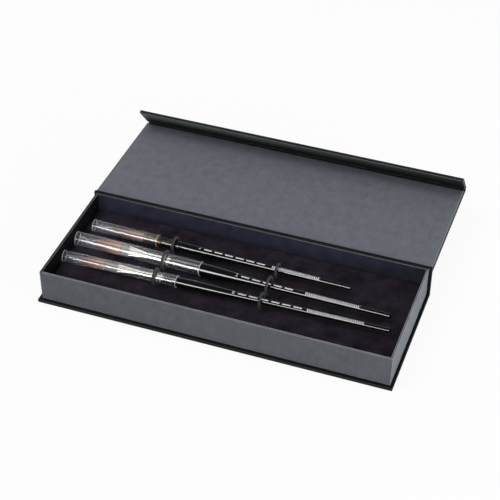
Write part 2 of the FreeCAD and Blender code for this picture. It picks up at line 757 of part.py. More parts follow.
def main():
    base()
    spine()
    lid()
    flap()
    lid_hinge()
    flap_hinge()
    tray_boards()
    corner_stays()
    tray_papers()
    pad()
    loops()
    for brush in BRUSHES:
        tube(brush)
        handle(brush)
    for brush in FILBERTS:
        ferrule(brush)
        filbert_hair(brush)
    quill()
    mop_hair()
    doc.recompute()
    winding("mop_wire_front", "wire_front_inset")
    winding("mop_wire_rear", "wire_rear_inset")
    check()
    os.makedirs("parts", exist_ok=True)
    for label, part in nodes.items():
        part.Shape.exportStep(f"parts/{label}.step")
        bounds = part.Shape.BoundBox
        print(f"{label}: {len(part.Shape.Solids)} solid, {part.Shape.Volume:.1f} mm3,"
              f" z {bounds.ZMin:.2f} to {bounds.ZMax:.2f}")


main()
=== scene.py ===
"""The finished look of a hinged gift box with three artist's brushes, laid out as an add-on."""
import json
import math
import random

import bmesh
import bpy
from bpy.props import FloatProperty, FloatVectorProperty, IntProperty, PointerProperty
from mathutils import Matrix, Quaternion, Vector, noise


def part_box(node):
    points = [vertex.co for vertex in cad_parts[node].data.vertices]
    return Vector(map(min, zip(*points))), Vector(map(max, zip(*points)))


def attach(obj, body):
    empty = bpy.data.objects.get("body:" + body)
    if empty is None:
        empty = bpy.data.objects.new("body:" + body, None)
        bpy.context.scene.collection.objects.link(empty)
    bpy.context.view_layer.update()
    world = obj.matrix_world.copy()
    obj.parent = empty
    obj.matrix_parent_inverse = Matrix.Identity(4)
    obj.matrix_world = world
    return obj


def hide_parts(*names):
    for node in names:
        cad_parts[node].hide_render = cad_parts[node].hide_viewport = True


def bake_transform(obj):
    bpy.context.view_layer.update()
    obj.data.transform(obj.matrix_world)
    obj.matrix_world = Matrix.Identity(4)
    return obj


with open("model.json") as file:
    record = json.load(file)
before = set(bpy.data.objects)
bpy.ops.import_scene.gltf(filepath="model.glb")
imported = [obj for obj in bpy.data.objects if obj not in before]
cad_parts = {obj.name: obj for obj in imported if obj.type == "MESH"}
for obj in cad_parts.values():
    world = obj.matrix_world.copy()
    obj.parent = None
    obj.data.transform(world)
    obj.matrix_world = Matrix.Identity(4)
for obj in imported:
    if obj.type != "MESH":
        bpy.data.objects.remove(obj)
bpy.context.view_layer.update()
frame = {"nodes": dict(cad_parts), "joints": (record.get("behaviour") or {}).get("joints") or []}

bl_info = {
    "name": "Brush Box",
    "version": (1, 0, 0),
    "blender": (4, 5, 0),
    "location": "View3D > Sidebar > Brush Box",
    "description": "Builds the finished look of a hinged gift box with three artist's brushes",
    "category": "Object",
}

MM = 0.001
BRUSHES = ("mop", "wide", "slim")
FILBERTS = ("wide", "slim")
ROWS = ("left", "right")
SEED = 7


# values that a user would change


def linear(code):
    """A colour written as sRGB hex, in the linear light that shaders work in."""
    channels = [int(code[i:i + 2], 16) / 255 for i in (1, 3, 5)]
    return (*(c / 12.92 if c <= 0.04045 else ((c + 0.055) / 1.055) ** 2.4 for c in channels), 1.0)


def colour(name, code, description):
    return FloatVectorProperty(name=name, description=description, subtype="COLOR", size=4,
                               min=0, max=1, default=linear(code))


def length(name, millimetres, description):
    return FloatProperty(name=name, description=description, unit="LENGTH", min=0, precision=5,
                         default=millimetres * MM)


def angle(name, degrees, description):
    return FloatProperty(name=name, description=description, unit="ROTATION", subtype="ANGLE",
                         default=math.radians(degrees))


def share(name, number, description):
    return FloatProperty(name=name, description=description, subtype="FACTOR", min=0, default=number)


def count(name, number, description):
    return IntProperty(name=name, description=description, min=1, default=number)


class BRUSHBOX_PG_papers(bpy.types.PropertyGroup):
    """Papers and boards of the case and the tray"""
    wrap: colour("Tray wrap", "#61656c", "Graphite paper round the tray")
    liner: colour("Lid liner", "#686b74", "Graphite paper inside the lid")
    # Edge colours: partly rubbed folds, partly painted highlight where the edges catch the light.
    worn_and_lit: colour("Worn paper", "#cfcfd0", "Where a fold has rubbed the dye off")
    liner_worn_and_lit: colour("Liner edge", "#686b70", "Cut edge of the lid's liner")
    cover: colour("Case cover", "#0d0e10", "Black paper outside the case")
    # Grey folds of the black paper: partly wear, partly painted highlight where the edges catch the light.
    cover_worn_and_lit: colour("Worn cover", "#55575a", "Where a fold of the black paper is rubbed")
    lining: colour("Lining", "#28283a", "Blue-black paper along the tray's sides")
    # The tray's end walls are drawn near-black, darker than the lining along its sides.
    lining_end: colour("End lining", "#060608", "Black paper at the tray's ends")
    # The flap's paper is near-black, partly dark paper and partly painted shade; the lighter flap colour is
    # a painted sheen and highlight.
    flap: colour("Flap liner", "#08090a", "Dark paper inside the flap")
    flap_highlight: colour("Faded flap liner", "#6c7573", "Where light has faded the flap's paper")
    board: colour("Greyboard", "#8d8a84", "Recycled board inside the papers")
    tape: colour("Corner tape", "#c8b48c", "Gummed tape on the tray's corners")
    fold: length("Fold radius", 0.3, "How round the paper turns the edge of a board")
    turn_in: length("Turn-in", 12.0, "How far the cover is folded in under the liner")
    ridge: length("Turn-in step", 0.16, "How far the turn-in lifts the liner")


class BRUSHBOX_PG_pad(bpy.types.PropertyGroup):
    """The flocked pad and its elastic loops"""
    flock: colour("Flock", "#121016", "Flock seen along its pile")
    flock_light: colour("Brushed flock", "#38303b", "Flock brushed over, in patches")
    foam: colour("Foam", "#3a3a3c", "Foam inside the pad")
    edge: length("Edge radius", 1.2, "How round the pad's top edge is")
    cell: length("Mesh step", 1.6, "Spacing of the points of the pad's top")
    dip: length("Unevenness", 0.22, "How far the top dips here and there")
    dimple: length("Dimple", 0.9, "How far a loop pulls the flock down")
    dimple_width: length("Dimple width", 2.4, "How far a loop's pull is seen")
    elastic: colour("Elastic", "#3a383a", "Braided elastic of the loops")
    strands: count("Braid strands", 8, "Strands that run each way round the cord")
    lay: length("Braid lay", 5.0, "Length of one turn of a strand")
    relief: share("Braid relief", 0.07, "Height of a strand, as a share of the cord's radius")


class BRUSHBOX_PG_brushes(bpy.types.PropertyGroup):
    """The three brushes and their tubes"""
    lacquer: colour("Lacquer", "#0b0b0c", "Black lacquer of the handles")
    foil: colour("Print", "#ecedf0", "Silver print on the handles")
    nickel: colour("Nickel", "#a9a7a3", "Nickel plate of the ferrules")
    # Pressed flats are drawn dark and dull as a painted reflection; shoulder facets and crimps are drawn
    # cream as painted glints.
    pressed: colour("Pressed nickel", "#595952", "Dull plate where a ferrule is pressed flat")
    shoulder: colour("Shoulder", "#9c9080", "Matt plate on a ferrule's shoulder and crimps")
    brass: colour("Brass", "#c09a58", "Brass wire round the quill")
    quill: colour("Quill", "#a8a29a", "Smoky clear plastic of the quill")
    clear: colour("Tube", "#f6f8fa", "Clear plastic of the tubes")
    cut: colour("Cut edge", "#e6e4de", "Frosted plastic where a tube is cut")
    hair_root: colour("Hair root", "#aa8672", "Hair at the ferrule")
    hair_tip: colour("Hair tip", "#622e20", "Hair at the tip")
    hairs: count("Hairs", 520, "Hairs drawn on each tuft")
    hair: length("Hair width", 0.16, "Hairs are about 0.05 mm, and are drawn wider to show")
    sides: count("Sides", 64, "Sides of the turned pieces")
    lip: length("Lip", 0.12, "Rounding of cut plastic and rolled metal edges")
    print_height: length("Print height", 3.0, "Height of the size number")
    print_lift: length("Print lift", 0.02, "Thickness of the print")


class BRUSHBOX_PG_stage(bpy.types.PropertyGroup):
    """Floor, light and camera"""
    floor: colour("Floor", "#f2f2f2", "Pale floor")
    sky: share("Sky", 0.5, "Light from all round, as a share of plain white")
    lens: FloatProperty(name="Lens", description="Focal length of the camera in millimetres",
                        subtype="DISTANCE_CAMERA", default=103.75)
    azimuth: angle("Azimuth", 19.48, "Where the camera stands, from the front towards +X")
    elevation: angle("Elevation", 40.04, "How high the camera looks from")
    roll: angle("Roll", 0.35, "How far the camera is turned about its line of sight")
    distance: length("Distance", 1166.0, "From the camera to its target")
    target_x: length("Target along the box", 13.2, "What the camera points at, along X")
    target_z: length("Target height", 56.5, "What the camera points at, above the floor")


class BRUSHBOX_PG_values(bpy.types.PropertyGroup):
    """All values of the brush box"""
    papers: PointerProperty(type=BRUSHBOX_PG_papers)
    pad: PointerProperty(type=BRUSHBOX_PG_pad)
    brushes: PointerProperty(type=BRUSHBOX_PG_brushes)
    stage: PointerProperty(type=BRUSHBOX_PG_stage)


# places, read from the frame


def joint(child):
    """The joint that carries a body."""
    return next(item for item in frame["joints"] if item["child"] == child)


def local_points(node, matrix):
    """A node's points in a frame of its own."""
    inverse = matrix.inverted()
    return [inverse @ vertex.co for vertex in frame["nodes"][node].data.vertices]


def extent(points):
    """The lowest and the highest corner of some points."""
    return [Vector(pick(point[i] for point in points) for i in range(3)) for pick in (min, max)]


def stations(points, step=0.02 * MM, least=12):
    """The places along X at which a whole ring of points lies, in order."""
    groups = []
    for x in sorted(point.x for point in points):
        if not groups or x - groups[-1][0] > step:
            groups.append([])
        groups[-1].append(x)
    return [group[0] for group in groups if len(group) >= least]


def reach(points, x, step=0.05 * MM):
    """Half the width and half the thickness of a solid at a place along X."""
    there = [point for point in points if abs(point.x - x) < step]
    return max(abs(point.y) for point in there), max(abs(point.z) for point in there)


def brush_frame(brush):
    """A brush's own frame: the open end of its tube, with +X along the slide."""
    along = Vector(joint(f"brush_{brush}")["axis"]).normalized()
    up = Vector((0, 0, 1))
    turned = Matrix((along, up.cross(along), up)).transposed().to_4x4()
    low, high = extent(local_points(f"{brush}_tube", turned))
    middle = (low + high) / 2
    return turned @ Matrix.Translation((low.x, middle.y, middle.z))


def flat_frame(brush):
    """A brush's own frame, rolled so that Y lies along the flat of its ferrule."""
    matrix = brush_frame(brush)
    if brush not in FILBERTS:
        return matrix
    points = local_points(f"{brush}_ferrule", matrix)
    mouth = min(point.x for point in points)
    ring = [point for point in points if point.x - mouth < 0.05 * MM]
    lean = sum(2 * point.y * point.z for point in ring)
    spread = sum(point.y ** 2 - point.z ** 2 for point in ring)
    return matrix @ Matrix.Rotation(math.atan2(lean, spread) / 2, 4, "X")


def hinge_frame(child, turn):
    """A frame on a hinge's line, turned about it."""
    return Matrix.Translation(joint(child)["pos_m"]) @ Matrix.Rotation(turn, 4, "X")


LID_OPEN = math.radians(joint("lid")["range_deg"][1])


# meshes and pieces


def ring_faces(rings, size, first=0, close=False):
    """Faces through rings of equally many points, capped, or closed from the last to the first."""
    starts = [first + size * i for i in range(rings)]
    spans = [*zip(starts, starts[1:])]
    if close:
        spans.append((starts[-1], starts[0]))
    faces = [(a + i, a + (i + 1) % size, b + (i + 1) % size, b + i) for a, b in spans for i in range(size)]
    if not close:
        faces += [tuple(range(start, start + size)) for start in (starts[0], starts[-1])]
    return faces


def skin(name, rings, close=False):
    """A mesh through rings of points."""
    points = [point for ring in rings for point in ring]
    mesh = bpy.data.meshes.new(name)
    mesh.from_pydata(points, [], ring_faces(len(rings), len(rings[0]), close=close))
    return mesh


def finished(work, name):
    """A mesh of what was worked on."""
    mesh = bpy.data.meshes.new(name)
    work.to_mesh(mesh)
    work.free()
    return mesh


def even(mesh, sharp=40):
    """Turn faces outwards and shade them smooth, but for edges sharper than an angle."""
    work = bmesh.new()
    work.from_mesh(mesh)
    bmesh.ops.recalc_face_normals(work, faces=work.faces)
    work.to_mesh(mesh)
    work.free()
    mesh.shade_smooth()
    mesh.set_sharp_from_angle(angle=math.radians(sharp))
    return mesh


def turned_ring(x, radius, sides):
    """A circle across X."""
    steps = [2 * math.pi * i / sides for i in range(sides)]
    return [Vector((x, radius * math.cos(a), radius * math.sin(a))) for a in steps]


def oblong_ring(x, width, thickness, sides):
    """A flat-sided ring with half-round ends, across X."""
    half = sides // 2
    flat = max(width - thickness, 0)
    ring = []
    for side, start in ((1, -90), (-1, 90)):
        for i in range(half):
            a = math.radians(start + 180 * i / (half - 1))
            ring.append(Vector((x, side * flat + thickness * math.cos(a), thickness * math.sin(a))))
    return ring


def put(name, data):
    """An object with its data, in the scene."""
    made = bpy.data.objects.new(name, data)
    bpy.context.scene.collection.objects.link(made)
    return made


def add_piece(name, mesh, finish, body=None, nodes=(), matrix=Matrix()):
    """Put a new piece into the scene, on its body, in place of CAD nodes."""
    mesh.transform(matrix)
    mesh.materials.append(finish)
    piece = put(name, mesh)
    if body:
        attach(piece, body)
    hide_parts(*nodes)
    return piece


def dress(node, finish, fold=0):
    """Give a CAD node its finish, and turn its edges round as folded paper is."""
    piece = frame["nodes"][node]
    for slot in piece.material_slots:
        slot.material = finish
    if fold:
        weld = piece.modifiers.new("Join faces", "WELD")
        weld.merge_threshold = 0.001 * MM
        bevel = piece.modifiers.new("Fold", "BEVEL")
        bevel.width = fold
        bevel.segments = 3
        bevel.angle_limit = math.radians(40)
        normals = piece.modifiers.new("Flat faces", "WEIGHTED_NORMAL")
        normals.keep_sharp = False
    return piece


# materials


def add(tree, kind, inputs=None, out=0, **settings):
    """Add a node with its settings and links, and give one of its outputs."""
    made = tree.nodes.new(kind)
    for name, setting in settings.items():
        setattr(made, name, setting)
    for socket, given in (inputs or {}).items():
        if isinstance(given, bpy.types.NodeSocket):
            tree.links.new(given, made.inputs[socket])
        else:
            made.inputs[socket].default_value = given
    return made.outputs[out] if made.outputs else made


def material(name, build, *values):
    """A material by name, built when it is first asked for."""
    made = bpy.data.materials.get(name)
    if made is None:
        made = bpy.data.materials.new(name)
        made.use_nodes = True
        made.node_tree.nodes.clear()
        shader = build(made.node_tree, *values)
        add(made.node_tree, "ShaderNodeOutputMaterial", {"Surface": shader})
    return made


def per(millimetres):
    """The scale at which a pattern's features are that large."""
    return 1 / (millimetres * MM)


def toned(tree, base, pattern, low, high, dark, light):
    """A colour made darker and lighter by a pattern that runs from low to high."""
    tone = add(tree, "ShaderNodeMapRange", {"Value": pattern, 1: low, 2: high, 3: dark, 4: light})
    return add(tree, "ShaderNodeMix", {0: 1.0, 6: base, 7: tone}, 2, data_type="RGBA",
               blend_type="MULTIPLY")


def streaks(tree, place, along, across, detail=3.0):
    """A pattern whose features have one size along X and another across it, in millimetres."""
    drawn = add(tree, "ShaderNodeMapping", {"Vector": place, "Scale": (per(along), *[per(across)] * 2)})
    return add(tree, "ShaderNodeTexNoise", {"Vector": drawn, "Scale": 1.0, "Detail": detail})


def worn_and_lit_edge(tree, width):
    """How near a surface lies to a sharp edge, from 0 to 1."""
    smoothed = add(tree, "ShaderNodeBevel", {"Radius": width}, samples=4)
    true = add(tree, "ShaderNodeNewGeometry", out="True Normal")
    facing = add(tree, "ShaderNodeVectorMath", {0: smoothed, 1: true}, "Value", operation="DOT_PRODUCT")
    return add(tree, "ShaderNodeMapRange", {"Value": facing, 1: 0.99, 2: 0.8, 3: 0.0, 4: 1.0})


def graphite_paper(tree, base, worn_and_lit, edge, rim, lined=None):
    """Fibre paper dyed in the pulp: drawn fibres and soft cloudiness, no gloss, a rim drawn pale as wear
    and painted highlight.
    """
    place = add(tree, "ShaderNodeTexCoord", out="Object")
    if lined:
        # At the left end and along the back, the rim's top is drawn in the end lining's black and its edges
        # in the liner's grey.
        end, back, black, lined_edge = lined
        x, y = (add(tree, "ShaderNodeSeparateXYZ", {"Vector": place}, axis) for axis in "XY")
        at_end = add(tree, "ShaderNodeMath", {0: x, 1: end}, operation="LESS_THAN")
        at_back = add(tree, "ShaderNodeMath", {0: y, 1: back}, operation="GREATER_THAN")
        either = add(tree, "ShaderNodeMath", {0: at_end, 1: at_back}, operation="MAXIMUM")
        facing = add(tree, "ShaderNodeNewGeometry", out="Normal")
        up = add(tree, "ShaderNodeSeparateXYZ", {"Vector": facing}, "Z")
        over = add(tree, "ShaderNodeMath", {0: either, 1: up}, operation="MULTIPLY", use_clamp=True)
        base = add(tree, "ShaderNodeMix", {0: over, 6: base, 7: black}, 2, data_type="RGBA")
        worn_and_lit = add(tree, "ShaderNodeMix", {0: either, 6: worn_and_lit, 7: lined_edge}, 2, data_type="RGBA")
    # Fibres are about 0.1 mm across, and are drawn wider so that they show.
    fibre = streaks(tree, place, 0.8, 6)
    cloud = add(tree, "ShaderNodeTexNoise", {"Vector": place, "Scale": per(9), "Detail": 5.0})
    grain = add(tree, "ShaderNodeTexNoise", {"Vector": place, "Scale": per(0.7), "Detail": 2.0})
    mixed = add(tree, "ShaderNodeMath", {0: fibre, 1: cloud}, operation="ADD")
    dyed = toned(tree, base, mixed, 0.6, 1.4, 0.81, 1.19)
    height = add(tree, "ShaderNodeSeparateXYZ", {"Vector": place}, "Z")
    # Edges near the rim's top get the pale colour fully, a painted highlight where the top catches the
    # light.
    high = add(tree, "ShaderNodeMapRange", {"Value": height, 1: rim - 1 * MM, 2: rim, 3: 0.25, 4: 1.0})
    worn_and_lit_mask = add(tree, "ShaderNodeMath", {0: worn_and_lit_edge(tree, edge), 1: high}, operation="MULTIPLY")
    shown = add(tree, "ShaderNodeMix", {0: worn_and_lit_mask, 6: dyed, 7: worn_and_lit}, 2, data_type="RGBA")
    rough = add(tree, "ShaderNodeMapRange", {"Value": grain, 1: 0.3, 2: 0.7, 3: 0.62, 4: 0.8})
    relief = add(tree, "ShaderNodeMath", {0: fibre, 1: grain}, operation="ADD")
    bump = add(tree, "ShaderNodeBump", {"Height": relief, "Strength": 0.35, "Distance": 0.08 * MM})
    return add(tree, "ShaderNodeBsdfPrincipled", {"Base Color": shown, "Roughness": rough, "Normal": bump,
                                                 "Specular IOR Level": 0.35})


def covering_paper(tree, base, worn_and_lit, edge, ends=None):
    """Black covering paper with a leather grain: a low sheen, folds drawn grey as wear and painted
    highlight, ends of its own.
    """
    place = add(tree, "ShaderNodeTexCoord", out="Object")
    if ends:
        facing = add(tree, "ShaderNodeNewGeometry", out="True Normal")
        sideways = add(tree, "ShaderNodeSeparateXYZ", {"Vector": facing}, "X")
        at_end = add(tree, "ShaderNodeMath", {0: sideways}, operation="ABSOLUTE")
        base = add(tree, "ShaderNodeMix", {0: at_end, 6: base, 7: ends}, 2, data_type="RGBA")
    cells = add(tree, "ShaderNodeTexVoronoi", {"Vector": place, "Scale": per(0.8)})
    cloud = add(tree, "ShaderNodeTexNoise", {"Vector": place, "Scale": per(11), "Detail": 5.0})
    dyed = toned(tree, base, cloud, 0.3, 0.7, 0.75, 1.35)
    # Folds are drawn grey, partly as wear and partly as painted highlight.
    worn_and_lit_mask = worn_and_lit_edge(tree, edge)
    shown = add(tree, "ShaderNodeMix", {0: worn_and_lit_mask, 6: dyed, 7: worn_and_lit}, 2, data_type="RGBA")
    rough = add(tree, "ShaderNodeMapRange", {"Value": cloud, 1: 0.3, 2: 0.7, 3: 0.55, 4: 0.7})
    bump = add(tree, "ShaderNodeBump", {"Height": cells, "Strength": 0.3, "Distance": 0.06 * MM})
    return add(tree, "ShaderNodeBsdfPrincipled", {"Base Color": shown, "Roughness": rough, "Normal": bump,
                                                 "Specular IOR Level": 0.15})


def paper_with_painted_sheen(tree, base, pale, worn_and_lit, edge, low, high):
    """Black liner paper drawn grey-green towards one upper corner, a painted sheen."""
    place = add(tree, "ShaderNodeTexCoord", out="Object")
    x, z = (add(tree, "ShaderNodeSeparateXYZ", {"Vector": place}, axis) for axis in "XZ")
    # Lighter towards the left and the top: a painted sheen.
    left = add(tree, "ShaderNodeMapRange", {"Value": x, 1: high.x, 2: low.x, 3: 0.15, 4: 1.0})
    up = add(tree, "ShaderNodeMapRange", {"Value": z, 1: low.z + 0.4 * (high.z - low.z), 2: high.z})
    painted_sheen_mask = add(tree, "ShaderNodeMath", {0: left, 1: up}, operation="MULTIPLY")
    mixed = add(tree, "ShaderNodeMix", {0: painted_sheen_mask, 6: base, 7: pale}, 2, data_type="RGBA")
    return covering_paper(tree, mixed, worn_and_lit, edge)


def flock_pile(tree, base, brushed):
    """Nylon flock: short upright fibres that look dark from above, with a sheen and brushed patches."""
    place = add(tree, "ShaderNodeTexCoord", out="Object")
    patch = add(tree, "ShaderNodeTexNoise", {"Vector": place, "Scale": per(16), "Detail": 6.0,
                                            "Roughness": 0.65})
    # Flock is about 0.02 mm thick, and its clumps are drawn at 0.5 mm so that they show.
    pile = add(tree, "ShaderNodeTexNoise", {"Vector": place, "Scale": per(0.5), "Detail": 3.0})
    both = add(tree, "ShaderNodeMath", {0: patch, 1: pile}, operation="ADD")
    tone = add(tree, "ShaderNodeMapRange", {"Value": both, 1: 0.8, 2: 1.35, 3: 0.0, 4: 1.0})
    shown = add(tree, "ShaderNodeMix", {0: tone, 6: base, 7: brushed}, 2, data_type="RGBA")
    bump = add(tree, "ShaderNodeBump", {"Height": pile, "Strength": 0.7, "Distance": 0.25 * MM})
    return add(tree, "ShaderNodeBsdfPrincipled", {
        "Base Color": shown, "Roughness": 0.95, "Normal": bump, "Specular IOR Level": 0.1,
        "Sheen Weight": 0.1, "Sheen Roughness": 0.45, "Sheen Tint": linear("#8f8088")})


def braided_elastic(tree, base):
    """Polyester braid over rubber: matt threads, dusty on top of each strand."""
    place = add(tree, "ShaderNodeTexCoord", out="Object")
    thread = add(tree, "ShaderNodeTexNoise", {"Vector": place, "Scale": per(0.25), "Detail": 2.0})
    shown = toned(tree, base, thread, 0.3, 0.7, 0.7, 1.3)
    bump = add(tree, "ShaderNodeBump", {"Height": thread, "Strength": 0.4, "Distance": 0.05 * MM})
    return add(tree, "ShaderNodeBsdfPrincipled", {
        "Base Color": shown, "Roughness": 0.85, "Normal": bump, "Specular IOR Level": 0.2})


def black_lacquer(tree, base):
    """Dipped lacquer on wood: a deep gloss that is very slightly wavy, with fine handling marks."""
    place = add(tree, "ShaderNodeTexCoord", out="Object")
    wave = add(tree, "ShaderNodeTexNoise", {"Vector": place, "Scale": per(3), "Detail": 1.0})
    marks = streaks(tree, place, 12, 0.6)
    rough = add(tree, "ShaderNodeMapRange", {"Value": marks, 1: 0.35, 2: 0.75, 3: 0.05, 4: 0.12})
    shown = toned(tree, base, marks, 0.3, 0.7, 0.8, 1.3)
    bump = add(tree, "ShaderNodeBump", {"Height": wave, "Strength": 0.06, "Distance": 0.05 * MM})
    return add(tree, "ShaderNodeBsdfPrincipled", {
        "Base Color": shown, "Roughness": rough, "Normal": bump, "IOR": 1.5, "Coat Weight": 0.35,
        "Coat Roughness": 0.05})


def silver_print(tree, base):
    """Silver ink, padded on: satin, and thin in specks."""
    place = add(tree, "ShaderNodeTexCoord", out="Object")
    specks = add(tree, "ShaderNodeTexNoise", {"Vector": place, "Scale": per(0.5), "Detail": 2.0})
    shown = toned(tree, base, specks, 0.3, 0.6, 0.6, 1.0)
    return add(tree, "ShaderNodeBsdfPrincipled", {"Base Color": shown, "Roughness": 0.4})


def plated_metal(tree, base, low, high, metallic=1.0):
    """Drawn and plated metal: bright, with faint lines along the drawing and dull spots."""
    place = add(tree, "ShaderNodeTexCoord", out="Object")
    lines = streaks(tree, place, 8, 0.35)
    spots = add(tree, "ShaderNodeTexNoise", {"Vector": place, "Scale": per(2.5), "Detail": 4.0})
    shown = toned(tree, base, spots, 0.3, 0.7, 0.82, 1.08)
    rough = add(tree, "ShaderNodeMapRange", {"Value": lines, 1: 0.3, 2: 0.7, 3: low, 4: high})
    return add(tree, "ShaderNodeBsdfPrincipled", {"Base Color": shown, "Roughness": rough,
                                                 "Metallic": metallic})


def brush_hair(tree, root, tip):
    """Fine dyed synthetic hair: satin strands, pinkish where they are held and darker to the tip."""
    along = add(tree, "ShaderNodeAttribute", out="Fac", attribute_name="along")
    tone = add(tree, "ShaderNodeAttribute", out="Fac", attribute_name="tone")
    faded = add(tree, "ShaderNodeMix", {0: along, 6: root, 7: tip}, 2, data_type="RGBA")
    shown = add(tree, "ShaderNodeMix", {0: 1.0, 6: faded, 7: tone}, 2, data_type="RGBA",
                blend_type="MULTIPLY")
    return add(tree, "ShaderNodeBsdfPrincipled", {"Base Color": shown, "Roughness": 0.5,
                                                 "Specular IOR Level": 0.5})


def clear_plastic(tree, tint):
    """Thin extruded plastic: a polished skin over a wall that bends light little, with faint lines."""
    # The plastic's own index is the coat's. So thin a wall hardly shifts what is seen through it.
    place = add(tree, "ShaderNodeTexCoord", out="Object")
    lines = streaks(tree, place, 20, 0.8, 2.0)
    rough = add(tree, "ShaderNodeMapRange", {"Value": lines, 1: 0.5, 2: 0.8, 3: 0.0, 4: 0.03})
    glass = add(tree, "ShaderNodeBsdfPrincipled", {
        "Base Color": tint, "Roughness": rough, "IOR": 1.1, "Transmission Weight": 0.985,
        "Coat Weight": 0.7, "Coat Roughness": 0.06, "Coat IOR": 1.5})
    through = add(tree, "ShaderNodeBsdfTransparent", {"Color": tint})
    from_lamp = add(tree, "ShaderNodeLightPath", out="Is Shadow Ray")
    return add(tree, "ShaderNodeMixShader", {0: from_lamp, 1: glass, 2: through})


def cut_plastic(tree, base):
    """Sawn plastic edge: frosted and pale, so that it catches the light as a ring."""
    place = add(tree, "ShaderNodeTexCoord", out="Object")
    saw = add(tree, "ShaderNodeTexNoise", {"Vector": place, "Scale": per(0.4), "Detail": 2.0})
    rough = add(tree, "ShaderNodeMapRange", {"Value": saw, 1: 0.3, 2: 0.7, 3: 0.25, 4: 0.5})
    return add(tree, "ShaderNodeBsdfPrincipled", {"Base Color": base, "Roughness": rough,
                                                 "Transmission Weight": 0.35})


def pressed_board(tree, base):
    """Greyboard or gummed tape: matt recycled fibre with dark flecks."""
    place = add(tree, "ShaderNodeTexCoord", out="Object")
    flecks = add(tree, "ShaderNodeTexNoise", {"Vector": place, "Scale": per(1.2), "Detail": 6.0})
    shown = toned(tree, base, flecks, 0.3, 0.6, 0.6, 1.1)
    bump = add(tree, "ShaderNodeBump", {"Height": flecks, "Strength": 0.3, "Distance": 0.1 * MM})
    return add(tree, "ShaderNodeBsdfPrincipled", {"Base Color": shown, "Roughness": 0.9, "Normal": bump})


def open_foam(tree, base):
    """Cut foam: matt, with open cells."""
    place = add(tree, "ShaderNodeTexCoord", out="Object")
    cells = add(tree, "ShaderNodeTexVoronoi", {"Vector": place, "Scale": per(0.9)})
    shown = toned(tree, base, cells, 0.0, 0.6, 1.2, 0.5)
    bump = add(tree, "ShaderNodeBump", {"Height": cells, "Strength": 0.6, "Distance": 0.3 * MM})
    return add(tree, "ShaderNodeBsdfPrincipled", {"Base Color": shown, "Roughness": 0.95, "Normal": bump})


def black_paper(papers):
    return material("Black covering paper", covering_paper, papers.cover, papers.cover_worn_and_lit, 0.5 * MM)


# pieces of the case


class BRUSHBOX_OT_case(bpy.types.Operator):
    """Finish the covered boards of the case and the papers of the tray"""
    bl_idname = "brush_box.case"
    bl_label = "Case and tray papers"

    def execute(self, context):
        papers = context.scene.brush_box.papers
        for name in ("base", "spine", "lid"):
            dress(f"{name}_cover", black_paper(papers), papers.fold)
        # The flap's edges take the lighter flap colour, a painted highlight where they catch the light.
        flap_cover_lit_edges = material("Covering paper with painted edge highlight", covering_paper, papers.cover, papers.flap_highlight,
                           1.0 * MM)
        dress("flap_cover", flap_cover_lit_edges, papers.fold)
        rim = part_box("tray_wrap")[1].z
        low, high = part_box("tray_lining")
        lined = low.x, high.y, papers.lining_end, papers.liner
        wrap = material("Graphite paper, tray", graphite_paper, papers.wrap, papers.worn_and_lit, 0.45 * MM, rim,
                        lined)
        dress("tray_wrap", wrap, papers.fold)
        lining = material("Blue-black lining paper", covering_paper, papers.lining, papers.cover_worn_and_lit,
                          0.2 * MM, papers.lining_end)
        dress("tray_lining", lining)
        # The flap liner: near-black with a painted sheen towards one upper corner.
        flap = material("Liner paper with painted sheen", paper_with_painted_sheen, papers.flap, papers.flap_highlight, papers.cover_worn_and_lit,
                        0.4 * MM, *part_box("flap_liner"))
        dress("flap_liner", flap)
        return {"FINISHED"}


class BRUSHBOX_OT_lid_liner(bpy.types.Operator):
    """Lay the liner into the lid, over the edges of the turned-in cover"""
    bl_idname = "brush_box.lid_liner"
    bl_label = "Lid liner"

    def execute(self, context):
        papers = context.scene.brush_box.papers
        lid = hinge_frame("lid", -LID_OPEN)
        low, high = extent(local_points("lid_liner", lid))
        # The mesh's spacing, the width of the turn-in's edge, and how far the sheet is lifted and ripples.
        cell, step, lift, wave = 1.5 * MM, 1.2 * MM, 0.05 * MM, 0.04 * MM
        columns, rows = (round((high[i] - low[i]) / cell) for i in range(2))
        work = bmesh.new()
        bmesh.ops.create_grid(work, x_segments=columns, y_segments=rows, size=0.5)
        for vertex in work.verts:
            x = low.x + (vertex.co.x + 0.5) * (high.x - low.x)
            y = low.y + (vertex.co.y + 0.5) * (high.y - low.y)
            inset = min(x - low.x, high.x - x, y - low.y, high.y - y)
            sunk = min(max((inset - papers.turn_in) / step, 0), 1)
            ripple = wave * noise.noise(Vector((x, y, 0)) * per(35))
            vertex.co = (x, y, low.z + lift + papers.ridge * sunk ** 2 * (3 - 2 * sunk) + ripple)
        mesh = finished(work, "lid_liner_sheet")
        finish = material("Graphite paper, lid", graphite_paper, papers.liner, papers.liner_worn_and_lit,
                          0.3 * MM, high.z)
        piece = add_piece("lid_liner_sheet", even(mesh), finish, "lid", ["lid_liner"], lid)
        thickness = piece.modifiers.new("Paper", "SOLIDIFY")
        thickness.thickness = 0.12 * MM
        thickness.offset = 0
        return {"FINISHED"}


